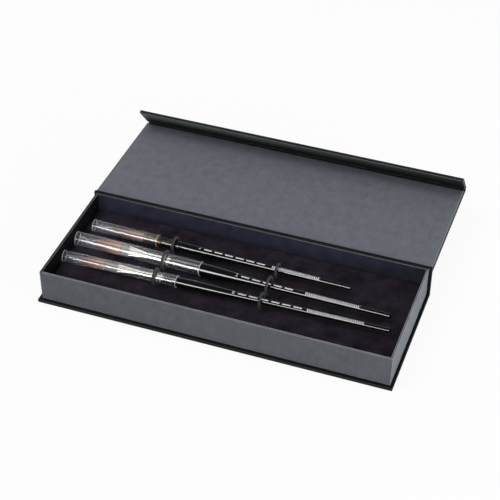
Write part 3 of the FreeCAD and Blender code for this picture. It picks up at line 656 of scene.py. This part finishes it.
class BRUSHBOX_OT_hinges(bpy.types.Operator):
    """Fold the paper hinges of the lid and the flap"""
    bl_idname = "brush_box.hinges"
    bl_label = "Paper hinges"

    thickness = 0.22 * MM

    def execute(self, context):
        papers = context.scene.brush_box.papers
        self.lid_strip(papers)
        self.flap_strips(papers)
        return {"FINISHED"}

    def strip(self, name, papers, path, half, node, matrix=Matrix()):
        """Extrude a folded path along the box, with the paper's thickness to its left."""
        inner = []
        for i, (y, z) in enumerate(path):
            before, after = path[max(i - 1, 0)], path[min(i + 1, len(path) - 1)]
            along = Vector((after[0] - before[0], after[1] - before[1])).normalized()
            inner.append((y - along.y * self.thickness, z + along.x * self.thickness))
        outline = [*path, *reversed(inner)]
        slices = 24
        rings = [[Vector((half * (2 * i / slices - 1), y, z)) for y, z in outline]
                 for i in range(slices + 1)]
        mesh = even(skin(name, rings), sharp=50)
        return add_piece(name, mesh, black_paper(papers), nodes=[node], matrix=matrix)

    def lid_strip(self, papers):
        """A hairpin of paper between the spine and the lid."""
        low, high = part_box("lid_hinge_strip")
        radius = (high.y - low.y) / 2
        middle = low.y + radius
        top = high.z - radius
        turns = [math.pi * i / 12 for i in range(13)]
        path = [(low.y, low.z)]
        path += [(middle - radius * math.cos(a), top + radius * math.sin(a)) for a in turns]
        path.append((high.y, low.z))
        path.reverse()
        piece = self.strip("lid_hinge_paper", papers, path, high.x, "lid_hinge_strip")
        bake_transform(piece)

    def flap_strips(self, papers):
        """A bend of paper outside the flap's fold, split where the crease divides the motion."""
        strip = hinge_frame("flap_crease", -LID_OPEN)
        half, tail, radius = extent(local_points("flap_hinge_strip", strip))[1]
        # How far the crease turns, and the whole fold with the flap's own turn.
        split = math.radians(-joint("flap_crease")["range_deg"][0])
        fold = split + math.radians(-joint("flap")["range_deg"][0])

        def bend(first, last, steps):
            turns = [first + (last - first) * i / steps for i in range(steps + 1)]
            return [(-radius * math.sin(a), radius * math.cos(a)) for a in turns]

        near = [(tail, radius), *bend(0, split, 16)]
        far = bend(split, fold, 10)
        far.append((far[-1][0] - tail * math.cos(fold), far[-1][1] - tail * math.sin(fold)))
        # With the points of each path between which it bends.
        pieces = (("flap_hinge_paper_lid", near, "lid", "flap_crease", (1, -1)),
                  ("flap_hinge_paper_flap", far, "flap_crease", "flap", (0, -2)))
        for name, path, first, last, bent in pieces:
            piece = self.strip(name, papers, path, half, "flap_hinge_strip", strip)
            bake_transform(piece)


class BRUSHBOX_OT_inside(bpy.types.Operator):
    """Finish what the papers hide: boards, tapes, magnets, foam and bars"""
    bl_idname = "brush_box.inside"
    bl_label = "Boards and hidden pieces"

    def execute(self, context):
        values = context.scene.brush_box
        board = material("Greyboard", pressed_board, values.papers.board)
        boards = ["base_board", "spine_board", "lid_board", "flap_board", "tray_floor"]
        boards += [f"tray_{side}_wall" for side in ("front", "back", "left", "right")]
        for node in boards:
            dress(node, board)
        dress("corner_stays", material("Gummed paper tape", pressed_board, values.papers.tape))
        steel = material("Nickelled steel", plated_metal, values.brushes.nickel, 0.2, 0.35)
        for node in ("tray_magnets", "flap_magnets", "loop_barbs"):
            dress(node, steel)
        dress("foam_pad", material("Open-cell foam", open_foam, values.pad.foam))
        return {"FINISHED"}


# pad and loops


# How much smaller and lower the mop's right loop is than its solid.
SNUG_SHARE = 0.84
SNUG_DROP = 0.65 * MM


def loop_frame(brush, row):
    """A loop's own frame on its brush's axis, its arch radius and its cord radius."""
    along = brush_frame(brush).to_3x3().to_4x4()
    low, high = extent(local_points(f"loop_{brush}_{row}", along))
    cord = (high.x - low.x) / 2
    arch = (high.y - low.y) / 2 - cord
    middle = (low + high) / 2
    axis_z = high.z - cord - arch
    # The mop's thin handle lets its second loop sit lower.
    if (brush, row) == ("mop", "right"):
        arch *= SNUG_SHARE
        axis_z -= SNUG_DROP
    return along @ Matrix.Translation((middle.x, middle.y, axis_z)), arch, cord, low.z - axis_z


def loop_wrap(matrix, arch):
    """How far below a brush's axis its loop hugs it before it meets the pad."""
    return math.asin((matrix.translation.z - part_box("velvet_cover")[1].z) / arch)


class BRUSHBOX_OT_pad(bpy.types.Operator):
    """Cover the foam with flock that dips where the loops go through it"""
    bl_idname = "brush_box.pad"
    bl_label = "Flocked pad"

    def execute(self, context):
        pad = context.scene.brush_box.pad
        low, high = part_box("velvet_cover")
        middle = (low + high) / 2
        flat = (high - low) / 2 - Vector((pad.edge, pad.edge, 0))
        work = bmesh.new()
        bmesh.ops.create_grid(work, x_segments=round(2 * flat.x / pad.cell),
                              y_segments=round(2 * flat.y / pad.cell), size=0.5)
        legs = []
        for brush in BRUSHES:
            for row in ROWS:
                matrix, arch, cord, bottom = loop_frame(brush, row)
                foot = arch * math.cos(loop_wrap(matrix, arch))
                legs += [matrix @ Vector((0, side * foot, 0)) for side in (-1, 1)]
        for vertex in work.verts:
            x, y = middle.x + vertex.co.x * 2 * flat.x, middle.y + vertex.co.y * 2 * flat.y
            vertex.co = (x, y, high.z - self.sunk(pad, x, y, legs))
        rim = [edge for edge in work.edges if edge.is_boundary]
        turns = [math.radians(22.5 * i) for i in range(1, 5)]
        rows = [(pad.edge * math.sin(a), pad.edge * (1 - math.cos(a))) for a in turns]
        rows.append((pad.edge, high.z - low.z))
        for out, down in rows:
            grown = bmesh.ops.extrude_edge_only(work, edges=rim)["geom"]
            for vertex in (item for item in grown if isinstance(item, bmesh.types.BMVert)):
                for i in (0, 1):
                    if abs(vertex.co[i] - middle[i]) > flat[i] - 0.1 * pad.cell:
                        vertex.co[i] = middle[i] + math.copysign(flat[i] + out, vertex.co[i] - middle[i])
                vertex.co.z = high.z - down
            rim = [item for item in grown if isinstance(item, bmesh.types.BMEdge)]
        mesh = finished(work, "flocked_pad")
        finish = material("Nylon flock", flock_pile, pad.flock, pad.flock_light)
        piece = add_piece("flocked_pad", even(mesh), finish, "tray", ["velvet_cover"])
        cloth = piece.modifiers.new("Cloth", "SOLIDIFY")
        cloth.thickness = 0.5 * MM
        cloth.offset = -1
        return {"FINISHED"}

    def sunk(self, pad, x, y, legs):
        """How far the top lies below the pad's height."""
        spot = Vector((x, y, 0))
        wave = noise.noise(spot * per(38)) + 0.5 * noise.noise(spot * per(11))
        depth = pad.dip * (0.5 + 0.33 * wave)
        for leg in legs:
            away = math.hypot(x - leg.x, y - leg.y)
            depth += pad.dimple * math.exp(-(away / pad.dimple_width) ** 2)
        return depth


class BRUSHBOX_OT_loops(bpy.types.Operator):
    """Braid the elastic loops that hold the brushes"""
    bl_idname = "brush_box.loops"
    bl_label = "Elastic loops"

    def execute(self, context):
        pad = context.scene.brush_box.pad
        finish = material("Braided elastic", braided_elastic, pad.elastic)
        for brush in BRUSHES:
            for row in ROWS:
                matrix, arch, cord, bottom = loop_frame(brush, row)
                wrap = loop_wrap(matrix, arch)
                mesh = self.braid(pad, f"elastic_{brush}_{row}", arch, cord, bottom, wrap)
                add_piece(mesh.name, even(mesh, sharp=80), finish, "tray",
                          [f"loop_{brush}_{row}"], matrix)
        return {"FINISHED"}

    def braid(self, pad, name, arch, cord, bottom, wrap):
        """A cord from its bar under the pad, round the brush and back down, with crossing strands."""
        step = 0.35 * MM
        straight, over = -bottom - arch * math.sin(wrap), (math.pi + 2 * wrap) * arch
        whole = 2 * straight + over
        slices = round(whole / step)
        sides = 3 * pad.strands
        spread = arch * (1 - math.cos(wrap))
        rings = []
        for i in range(slices + 1):
            run = whole * i / slices
            turn = min(max((run - straight) / arch, 0), math.pi + 2 * wrap) - wrap
            drop = min(run - straight, 0) + min(whole - straight - run, 0)
            aside = math.copysign(spread * (drop / straight) ** 2, run - whole / 2)
            centre = Vector((0, aside - arch * math.cos(turn), arch * math.sin(turn) + drop))
            out = Vector((0, -math.cos(turn), math.sin(turn)))
            ring = []
            for k in range(sides):
                a = 2 * math.pi * k / sides
                twist = 2 * math.pi * run / pad.lay * pad.strands / 2
                ridge = max(math.cos(pad.strands / 2 * a + twist), math.cos(pad.strands / 2 * a - twist))
                radius = cord * (1 - pad.relief * (1 - ridge))
                ring.append(centre + out * (radius * math.cos(a)) + Vector((radius * math.sin(a), 0, 0)))
            rings.append(ring)
        return skin(name, rings)


# brushes


def smooth_profile(profile, steps=3):
    """More points on a turned outline, on a curve through the ones given."""
    slopes = []
    for i in range(len(profile)):
        (x0, r0), (x1, r1) = profile[max(i - 1, 0)], profile[min(i + 1, len(profile) - 1)]
        slopes.append((r1 - r0) / (x1 - x0))
    made = []
    for i in range(len(profile) - 1):
        (x0, r0), (x1, r1) = profile[i], profile[i + 1]
        for k in range(steps):
            t = k / steps
            span = x1 - x0
            made.append((x0 + t * span,
                         (2 * t ** 3 - 3 * t ** 2 + 1) * r0 + (t ** 3 - 2 * t ** 2 + t) * span * slopes[i]
                         + (3 * t ** 2 - 2 * t ** 3) * r1 + (t ** 3 - t ** 2) * span * slopes[i + 1]))
    return [*made, profile[-1]]


def handle_profile(brush):
    """A handle's outline from its shoulder to its tip, and the end and radius of its tenon."""
    points = local_points(f"{brush}_handle", brush_frame(brush))
    places = stations(points)
    outline = [(x, max(reach(points, x))) for x in places[1:]]
    return outline, (places[0], reach(points, places[0])[0])


class BRUSHBOX_OT_handles(bpy.types.Operator):
    """Turn the lacquered handles and print plain size numbers and rules on them"""
    bl_idname = "brush_box.handles"
    bl_label = "Handles and print"

    sizes = {"mop": "4", "wide": "12", "slim": "8"}
    # From the shoulder of each handle: where the number starts, and the scale's two ends.
    print_places = {"mop": (22, 88, 130), "wide": (56, 119, 166), "slim": (60, 124, 172)}
    print_elevation = math.radians(76)
    # The height of a figure, as a share of the type's size.
    figure_height = 0.7

    def execute(self, context):
        brushes = context.scene.brush_box.brushes
        lacquer = material("Black lacquered wood", black_lacquer, brushes.lacquer)
        ink = material("Silver ink", silver_print, brushes.foil)
        for brush in BRUSHES:
            matrix = brush_frame(brush)
            outline, (tenon, bore) = handle_profile(brush)
            profile = [(tenon, bore), (outline[0][0], bore), *smooth_profile(outline)]
            rings = [turned_ring(x, radius, brushes.sides) for x, radius in profile]
            add_piece(f"{brush}_lacquered_handle", even(skin(f"{brush}_lacquered_handle", rings)), lacquer,
                      f"brush_{brush}", [f"{brush}_handle"], matrix)
            mesh = self.print_mesh(brushes, brush, outline)
            add_piece(f"{brush}_print", mesh, ink, f"brush_{brush}", matrix=matrix)
        return {"FINISHED"}

    def print_mesh(self, brushes, brush, outline):
        """A size number, a row of dashes and a plain scale of ticks, laid round the handle."""
        start, scale_start, scale_end = (place * MM for place in self.print_places[brush])
        tall = brushes.print_height
        work = bmesh.new()
        number_end = self.number(work, self.sizes[brush], start, tall)
        gap, dash, blank = 3 * MM, 7 * MM, 2.5 * MM
        for i in range(int((scale_start - number_end - gap) / (dash + blank))):
            first = number_end + gap + i * (dash + blank)
            self.bar(work, first, first + dash, 0, 0.35 * tall)
        rule = 0.28 * MM
        edge = 0.4 * tall
        for height in (-edge, edge):
            self.bar(work, scale_start, scale_end, height, rule)
        pitch = 1.6 * MM
        tick = 0.55 * pitch
        for i in range(int((scale_end - scale_start) / pitch)):
            x = scale_start + i * pitch
            # Every fifth tick is a long one.
            height, width = (0, 1.8 * edge) if i % 5 == 0 else (-0.15 * edge, 1.3 * edge)
            self.bar(work, x, x + tick, height, width)
        shoulder = outline[0][0]
        curve = smooth_profile(outline)
        for vertex in work.verts:
            x = shoulder + vertex.co.x
            radius = self.radius(curve, x)
            turn = self.print_elevation + vertex.co.y / radius
            lifted = radius + brushes.print_lift
            vertex.co = (x, -lifted * math.cos(turn), lifted * math.sin(turn))
        mesh = finished(work, f"{brush}_print")
        mesh.shade_smooth()
        return mesh

    def number(self, work, text, start, tall):
        """Add the faces of a size number, and give where it ends."""
        curve = bpy.data.curves.new("number", "FONT")
        curve.body = text
        curve.size = tall / self.figure_height
        curve.align_y = "CENTER"
        holder = put("number", curve)
        flat = bpy.data.meshes.new_from_object(holder.evaluated_get(bpy.context.evaluated_depsgraph_get()))
        bpy.data.objects.remove(holder)
        flat.transform(Matrix.Translation((start, 0, 0)))
        before = len(work.verts)
        work.from_mesh(flat)
        work.verts.ensure_lookup_table()
        return max(vertex.co.x for vertex in work.verts[before:])

    def bar(self, work, first, last, height, width):
        """Add a strip of print, in pieces short enough to follow the handle."""
        slices = max(1, round((last - first) / (2 * MM)))
        rises = 4
        places = [first + (last - first) * i / slices for i in range(slices + 1)]
        heights = [height + width * (k / rises - 0.5) for k in range(rises + 1)]
        grid = [[work.verts.new((x, y, 0)) for y in heights] for x in places]
        for near, far in zip(grid, grid[1:]):
            for k in range(rises):
                work.faces.new((near[k], far[k], far[k + 1], near[k + 1]))

    def radius(self, curve, x):
        """The handle's radius at a place along it."""
        for (x0, r0), (x1, r1) in zip(curve, curve[1:]):
            if x0 <= x <= x1:
                return r0 + (r1 - r0) * (x - x0) / (x1 - x0)
        raise RuntimeError(f"print at {x} m runs off the handle")


class BRUSHBOX_OT_ferrules(bpy.types.Operator):
    """Draw the nickelled ferrules, pressed flat at the hair and crimped on the handle"""
    bl_idname = "brush_box.ferrules"
    bl_label = "Ferrules"

    # The plate of each span of the outside, from the mouth: 0 bright, 1 pressed, drawn dark as a painted
    # reflection, 2 cream as a painted glint, and 3 cream as a painted glint on the flat facets only.
    zones = [0] * 3 + [1] * 2 + [3] * 11 + [0] + [2] * 8 + [0] + [2] * 8 + [0]

    def execute(self, context):
        brushes = context.scene.brush_box.brushes
        nickel = material("Nickel-plated brass", plated_metal, brushes.nickel, 0.1, 0.22)
        # Pressed flats drawn dark as a painted reflection, facets and crimps cream as painted glints.
        pressed = material("Pressed nickel plate", plated_metal, brushes.pressed, 0.6, 0.75, 0.3)
        glint_plate = material("Nickel with painted glints", plated_metal, brushes.shoulder, 0.5, 0.65, 0.2)
        for brush in FILBERTS:
            name = f"{brush}_nickel_ferrule"
            rings = self.rings(brushes, brush)
            mesh = skin(name, rings, close=True)
            for face in mesh.polygons:
                span, side = divmod(face.index, brushes.sides)
                zone = self.zones[min(span, len(self.zones) - 1)]
                facet = side % (brushes.sides // 2) == brushes.sides // 2 - 1
                face.material_index = zone if zone != 3 else 2 if facet else 0
            piece = add_piece(name, even(mesh, sharp=25), nickel, f"brush_{brush}",
                              [f"{brush}_ferrule"], flat_frame(brush))
            piece.data.materials.append(pressed)
            piece.data.materials.append(glint_plate)
        return {"FINISHED"}

    def rings(self, brushes, brush):
        """Outside from the mouth to the handle, then inside and back."""
        points = local_points(f"{brush}_ferrule", flat_frame(brush))
        places = stations(points)
        mouth, pressed, end = places[0], places[1], places[-1]
        flat, drawn = reach(points, mouth), reach(points, end)
        neck = next(x for x in places if reach(points, x)[1] > drawn[1] - 0.01 * MM)
        wall, support, lip = 0.4 * MM, 0.25 * MM, brushes.lip
        crimp_depth, crimp_half, crimps = 0.22 * MM, 0.55 * MM, (5.4 * MM, 2.4 * MM)
        outside = [(mouth, -lip), (mouth + lip, lip), (mouth + 4 * lip, lip), (mouth + 6 * lip, 0)]
        outside += [(pressed - support, 0), (pressed + support, 0)]
        outside += [(pressed + (neck - pressed) * i / 10, 0) for i in range(1, 10)]
        outside += [(neck - support, 0), (neck + support, 0)]
        for crimp in crimps:
            for step in range(-4, 5):
                along = step / 4
                outside.append((end - crimp + along * crimp_half, -crimp_depth * (1 - along ** 2)))
        outside += [(end - 2 * lip, 0), (end, -lip)]

        def ring(x, grow):
            t = min(max((x - pressed) / (neck - pressed), 0), 1)
            half = [a + (b - a) * t + grow for a, b in zip(flat, drawn)]
            return oblong_ring(x, max(half[0], half[1] + 0.02 * MM), half[1], brushes.sides)

        inside = [(end, -wall), (neck, -wall), (pressed, -wall), (mouth, -wall)]
        return [ring(x, grow) for x, grow in outside + inside]


class BRUSHBOX_OT_tufts(bpy.types.Operator):
    """Set the hair of the brushes, strand by strand over a solid core"""
    bl_idname = "brush_box.tufts"
    bl_label = "Hair"

    # As shares of the tuft's size: its core, how far out the hairs lie, and how unevenly they end.
    core, layers, unevenness = 0.9, (0.86, 0.985), 0.1
    # How bright the core is, dark as painted shade inside the tuft, how bright the hairs are, and how far a
    # hair sways round the tuft, in radians.
    core_tone, tones, sway = 0.6, (0.6, 1.4), 0.06
    # How much of its width a hair loses towards its tip.
    taper = 0.75

    def execute(self, context):
        brushes = context.scene.brush_box.brushes
        finish = material("Dyed synthetic hair", brush_hair, brushes.hair_root, brushes.hair_tip)
        draw = random.Random(SEED)
        for brush in BRUSHES:
            mesh = self.tuft(brushes, brush, draw)
            add_piece(mesh.name, mesh, finish, f"brush_{brush}", [f"{brush}_tuft"],
                      flat_frame(brush))
        return {"FINISHED"}

    def tuft(self, brushes, brush, draw):
        """A solid core with hairs over it, which carry their tone and their place along the tuft."""
        points = local_points(f"{brush}_tuft", flat_frame(brush))
        rings = [(x, *reach(points, x)) for x in reversed(stations(points, least=80))]
        widths, depths = (smooth_profile([(ring[0], ring[i]) for ring in rings]) for i in (1, 2))
        sections = [(x, wide, deep) for (x, wide), (_, deep) in zip(widths, depths)]
        held, tip = sections[0][0], sections[-1][0]
        holder = "mop_quill" if brush == "mop" else f"{brush}_ferrule"
        visible = min(point.x for point in local_points(holder, brush_frame(brush)))
        vertices, faces, along, tone = [], [], [], []

        def size(x):
            for (x0, a0, b0), (x1, a1, b1) in zip(sections, sections[1:]):
                if x1 <= x <= x0:
                    t = (x0 - x) / (x0 - x1)
                    return a0 + (a1 - a0) * t, b0 + (b1 - b0) * t
            return sections[-1][1:]

        def tube(path, radii, sides, shade):
            first = len(vertices)
            for (x, y, z), radius in zip(path, radii):
                for k in range(sides):
                    a = 2 * math.pi * k / sides
                    flat = radius if isinstance(radius, tuple) else (radius, radius)
                    vertices.append((x, y + flat[0] * math.cos(a), z + flat[1] * math.sin(a)))
                    along.append(min(max((visible - x) / (visible - tip), 0), 1))
                    tone.append(shade)
            faces.extend(ring_faces(len(path), sides, first))

        # The core is drawn darker than the hairs, as painted shade inside the tuft.
        tube([(x, 0, 0) for x, a, b in sections],
             [(self.core * a, self.core * b) for x, a, b in sections], 32, self.core_tone)
        slices = 12
        for _ in range(brushes.hairs):
            a = draw.uniform(0, 2 * math.pi)
            depth = draw.uniform(*self.layers)
            short = draw.uniform(0.0, self.unevenness) ** 1.5
            end = tip + short * (visible - tip)
            sway = draw.uniform(-self.sway, self.sway)
            root = visible + 0.5 * (held - visible)
            path = []
            for i in range(slices + 1):
                x = root + (end - root) * i / slices
                wide, thick = size(x)
                turn = a + sway * math.sin(math.pi * i / slices)
                path.append((x, depth * wide * math.cos(turn), depth * thick * math.sin(turn)))
            radii = [brushes.hair / 2 * (1 - self.taper * (i / slices) ** 2) for i in range(slices + 1)]
            # Hairs cling together, in clumps that are lighter and darker round the tuft.
            clump = 0.75 + 0.3 * math.sin(7 * a) + 0.2 * math.sin(17 * a + 1)
            tube(path, radii, 3, clump * draw.uniform(*self.tones))
        mesh = bpy.data.meshes.new(f"{brush}_hair")
        mesh.from_pydata(vertices, [], faces)
        for name, values in (("along", along), ("tone", tone)):
            mesh.attributes.new(name, "FLOAT", "POINT").data.foreach_set("value", values)
        return even(mesh, sharp=100)


class BRUSHBOX_OT_plastics(bpy.types.Operator):
    """Cut the clear tubes, and make the bound quill of the mop with its wires"""
    bl_idname = "brush_box.plastics"
    bl_label = "Tubes, quill and wires"

    def execute(self, context):
        brushes = context.scene.brush_box.brushes
        clear = material("Clear extruded tube", clear_plastic, brushes.clear)
        smoky = material("Smoky clear quill", clear_plastic, brushes.quill)
        for brush in BRUSHES:
            self.sleeve(brushes, f"{brush}_tube", f"{brush}_clear_tube", clear, f"tube_{brush}", brush)
        self.sleeve(brushes, "mop_quill", "mop_clear_quill", smoky, "brush_mop", "mop")
        brass = material("Brass wire", plated_metal, brushes.brass, 0.15, 0.3)
        for node in ("mop_wire_front", "mop_wire_rear"):
            dress(node, brass)
        return {"FINISHED"}

    def sleeve(self, brushes, node, name, finish, body, brush):
        """A thin tube with rounded lips, as wide as its CAD node at each end."""
        matrix = brush_frame(brush)
        points = local_points(node, matrix)
        places = stations(points)
        profile = []
        for x, side in ((places[0], 1), (places[-1], -1)):
            radii = sorted({round(math.hypot(point.y, point.z), 6) for point in points
                            if abs(point.x - x) < 0.05 * MM})
            inner, outer = radii[0], radii[-1]
            lip = (outer - inner) / 2
            middle = (outer + inner) / 2
            turns = [math.pi * i / 6 for i in range(7)]
            half_round = [(x + side * lip * (1 - math.sin(a)), middle - side * lip * math.cos(a))
                          for a in turns]
            profile += half_round
        rings = [turned_ring(x, radius, brushes.sides) for x, radius in profile]
        mesh = skin(name, rings, close=True)
        walls = len(half_round) - 1, len(rings) - 1
        for face in mesh.polygons:
            face.material_index = 0 if face.index // brushes.sides in walls else 1
        piece = add_piece(name, even(mesh), finish, body, [node], matrix)
        piece.data.materials.append(material("Cut plastic edge", cut_plastic, brushes.cut))


# stage


class BRUSHBOX_OT_stage(bpy.types.Operator):
    """Set the floor, the light and the camera"""
    bl_idname = "brush_box.stage"
    bl_label = "Floor, light and camera"

    # Azimuth and elevation in degrees, width and height in metres, and light on what faces it.
    softboxes = {
        "right_softbox": (76, 9, 1.2, 0.35, 1.05),
        "top_softbox": (-80, 62, 0.9, 0.9, 0.35),
    }
    # Lights that only show as highlights, as narrow strips do in a studio.
    strips = {"front_strip": (-16, 21, 1.6, 0.7, 1.8)}
    # In metres: how far away the lamps stand, half the floor's width, and how far it lies below the box.
    reach, floor_half, floor_drop = 1.5, 4.0, 0.1 * MM
    # How much of the floor's white is its own, beside what the lamps and shadows give it.
    floor_glow = 0.92
    # How steeply one looks up to the top of the pale walls and to the ceiling, and the ceiling's light.
    wall_top, ceiling_start, ceiling_light = 0.3, 0.55, 0.08

    def execute(self, context):
        scene = context.scene
        stage = scene.brush_box.stage
        scene.view_settings.view_transform = "Standard"
        self.floor(stage)
        self.sky(scene, stage)
        for name, values in self.softboxes.items():
            # A gobo keeps them out of the polished pieces.
            self.softbox(name, *values).visible_glossy = False
        for name, values in self.strips.items():
            self.softbox(name, *values).visible_diffuse = False
        self.camera(scene, stage)
        return {"FINISHED"}

    def seen(self, tree):
        """1 for what the camera, a reflection or clear plastic shows, and 0 for light on a surface."""
        total = add(tree, "ShaderNodeLightPath", out="Is Camera Ray")
        for ray in ("Is Glossy Ray", "Is Transmission Ray"):
            kind = add(tree, "ShaderNodeLightPath", out=ray)
            total = add(tree, "ShaderNodeMath", {0: total, 1: kind}, operation="MAXIMUM")
        return total

    def floor(self, stage):
        """A pale floor that shows white where nothing shades it."""
        half = self.floor_half
        mesh = bpy.data.meshes.new("floor")
        corners = [(-half, -half), (half, -half), (half, half), (-half, half)]
        mesh.from_pydata([(x, y, -self.floor_drop) for x, y in corners], [], [(0, 1, 2, 3)])

        def pale(tree, tint):
            matt = add(tree, "ShaderNodeBsdfDiffuse", {"Color": tint})
            glow = add(tree, "ShaderNodeEmission", {"Strength": self.seen(tree)})
            return add(tree, "ShaderNodeMixShader", {0: self.floor_glow, 1: matt, 2: glow})

        mesh.materials.append(material("Pale studio floor", pale, stage.floor))
        floor = put("floor", mesh)

    def sky(self, scene, stage):
        """Even light from all round, and white walls where the camera or a polished piece looks."""
        world = bpy.data.worlds.new("White studio")
        world.use_nodes = True
        tree = world.node_tree
        tree.nodes.clear()
        # The pale walls of the studio end in a dim ceiling, which the camera never faces.
        direction = add(tree, "ShaderNodeTexCoord", out="Generated")
        rise = add(tree, "ShaderNodeSeparateXYZ", {"Vector": direction}, "Z")
        walls = add(tree, "ShaderNodeMapRange", {"Value": rise, 1: self.wall_top, 2: self.ceiling_start,
                                                 3: 1.0, 4: self.ceiling_light})
        strength = add(tree, "ShaderNodeMapRange", {"Value": self.seen(tree), 3: stage.sky, 4: walls})
        light = add(tree, "ShaderNodeBackground", {"Color": (1, 1, 1, 1), "Strength": strength})
        add(tree, "ShaderNodeOutputWorld", {"Surface": light})
        scene.world = world

    def stand(self, data, a, e, distance, target=Vector(), roll=0):
        """Put a lamp or the camera round the box at an azimuth and elevation, facing a target."""
        back = Vector((math.sin(a) * math.cos(e), -math.cos(a) * math.cos(e), math.sin(e)))
        holder = put(data.name, data)
        holder.location = target + back * distance
        holder.rotation_mode = "QUATERNION"
        level = (-back).to_track_quat("-Z", "Y")
        holder.rotation_quaternion = level @ Quaternion((0, 0, 1), roll)
        return holder

    def softbox(self, name, azimuth, elevation, width, height, light):
        """A lamp whose power gives the light asked for on what faces it."""
        lamp = bpy.data.lights.new(name, "AREA")
        lamp.shape = "RECTANGLE"
        lamp.size, lamp.size_y = width, height
        lamp.energy = light * math.pi ** 2 * self.reach ** 2
        return self.stand(lamp, math.radians(azimuth), math.radians(elevation), self.reach)

    def camera(self, scene, stage):
        """The camera, where the photograph was taken from."""
        lens = bpy.data.cameras.new("camera")
        lens.lens = stage.lens
        target = Vector((stage.target_x, 0, stage.target_z))
        scene.camera = self.stand(lens, stage.azimuth, stage.elevation, stage.distance, target, stage.roll)


OPERATORS = (
    BRUSHBOX_OT_stage,
    BRUSHBOX_OT_case,
    BRUSHBOX_OT_lid_liner,
    BRUSHBOX_OT_hinges,
    BRUSHBOX_OT_inside,
    BRUSHBOX_OT_pad,
    BRUSHBOX_OT_loops,
    BRUSHBOX_OT_handles,
    BRUSHBOX_OT_ferrules,
    BRUSHBOX_OT_tufts,
    BRUSHBOX_OT_plastics,
)


class BRUSHBOX_PT_panel(bpy.types.Panel):
    """Lists the steps that build the brush box"""
    bl_label = "Brush Box"
    bl_idname = "BRUSHBOX_PT_panel"
    bl_space_type = "VIEW_3D"
    bl_region_type = "UI"
    bl_category = "Brush Box"

    def draw(self, context):
        for operator in OPERATORS:
            self.layout.operator(operator.bl_idname)


CLASSES = (
    BRUSHBOX_PG_papers,
    BRUSHBOX_PG_pad,
    BRUSHBOX_PG_brushes,
    BRUSHBOX_PG_stage,
    BRUSHBOX_PG_values,
    *OPERATORS,
    BRUSHBOX_PT_panel,
)


def register():
    for item in CLASSES:
        bpy.utils.register_class(item)
    bpy.types.Scene.brush_box = PointerProperty(type=BRUSHBOX_PG_values)


def unregister():
    del bpy.types.Scene.brush_box
    for item in reversed(CLASSES):
        bpy.utils.unregister_class(item)


def main():
    register()
    bpy.ops.brush_box.stage()
    bpy.ops.brush_box.case()
    bpy.ops.brush_box.lid_liner()
    bpy.ops.brush_box.hinges()
    bpy.ops.brush_box.inside()
    bpy.ops.brush_box.pad()
    bpy.ops.brush_box.loops()
    bpy.ops.brush_box.handles()
    bpy.ops.brush_box.ferrules()
    bpy.ops.brush_box.tufts()
    bpy.ops.brush_box.plastics()
    bpy.context.view_layer.update()


if __name__ == "__main__":
    main()
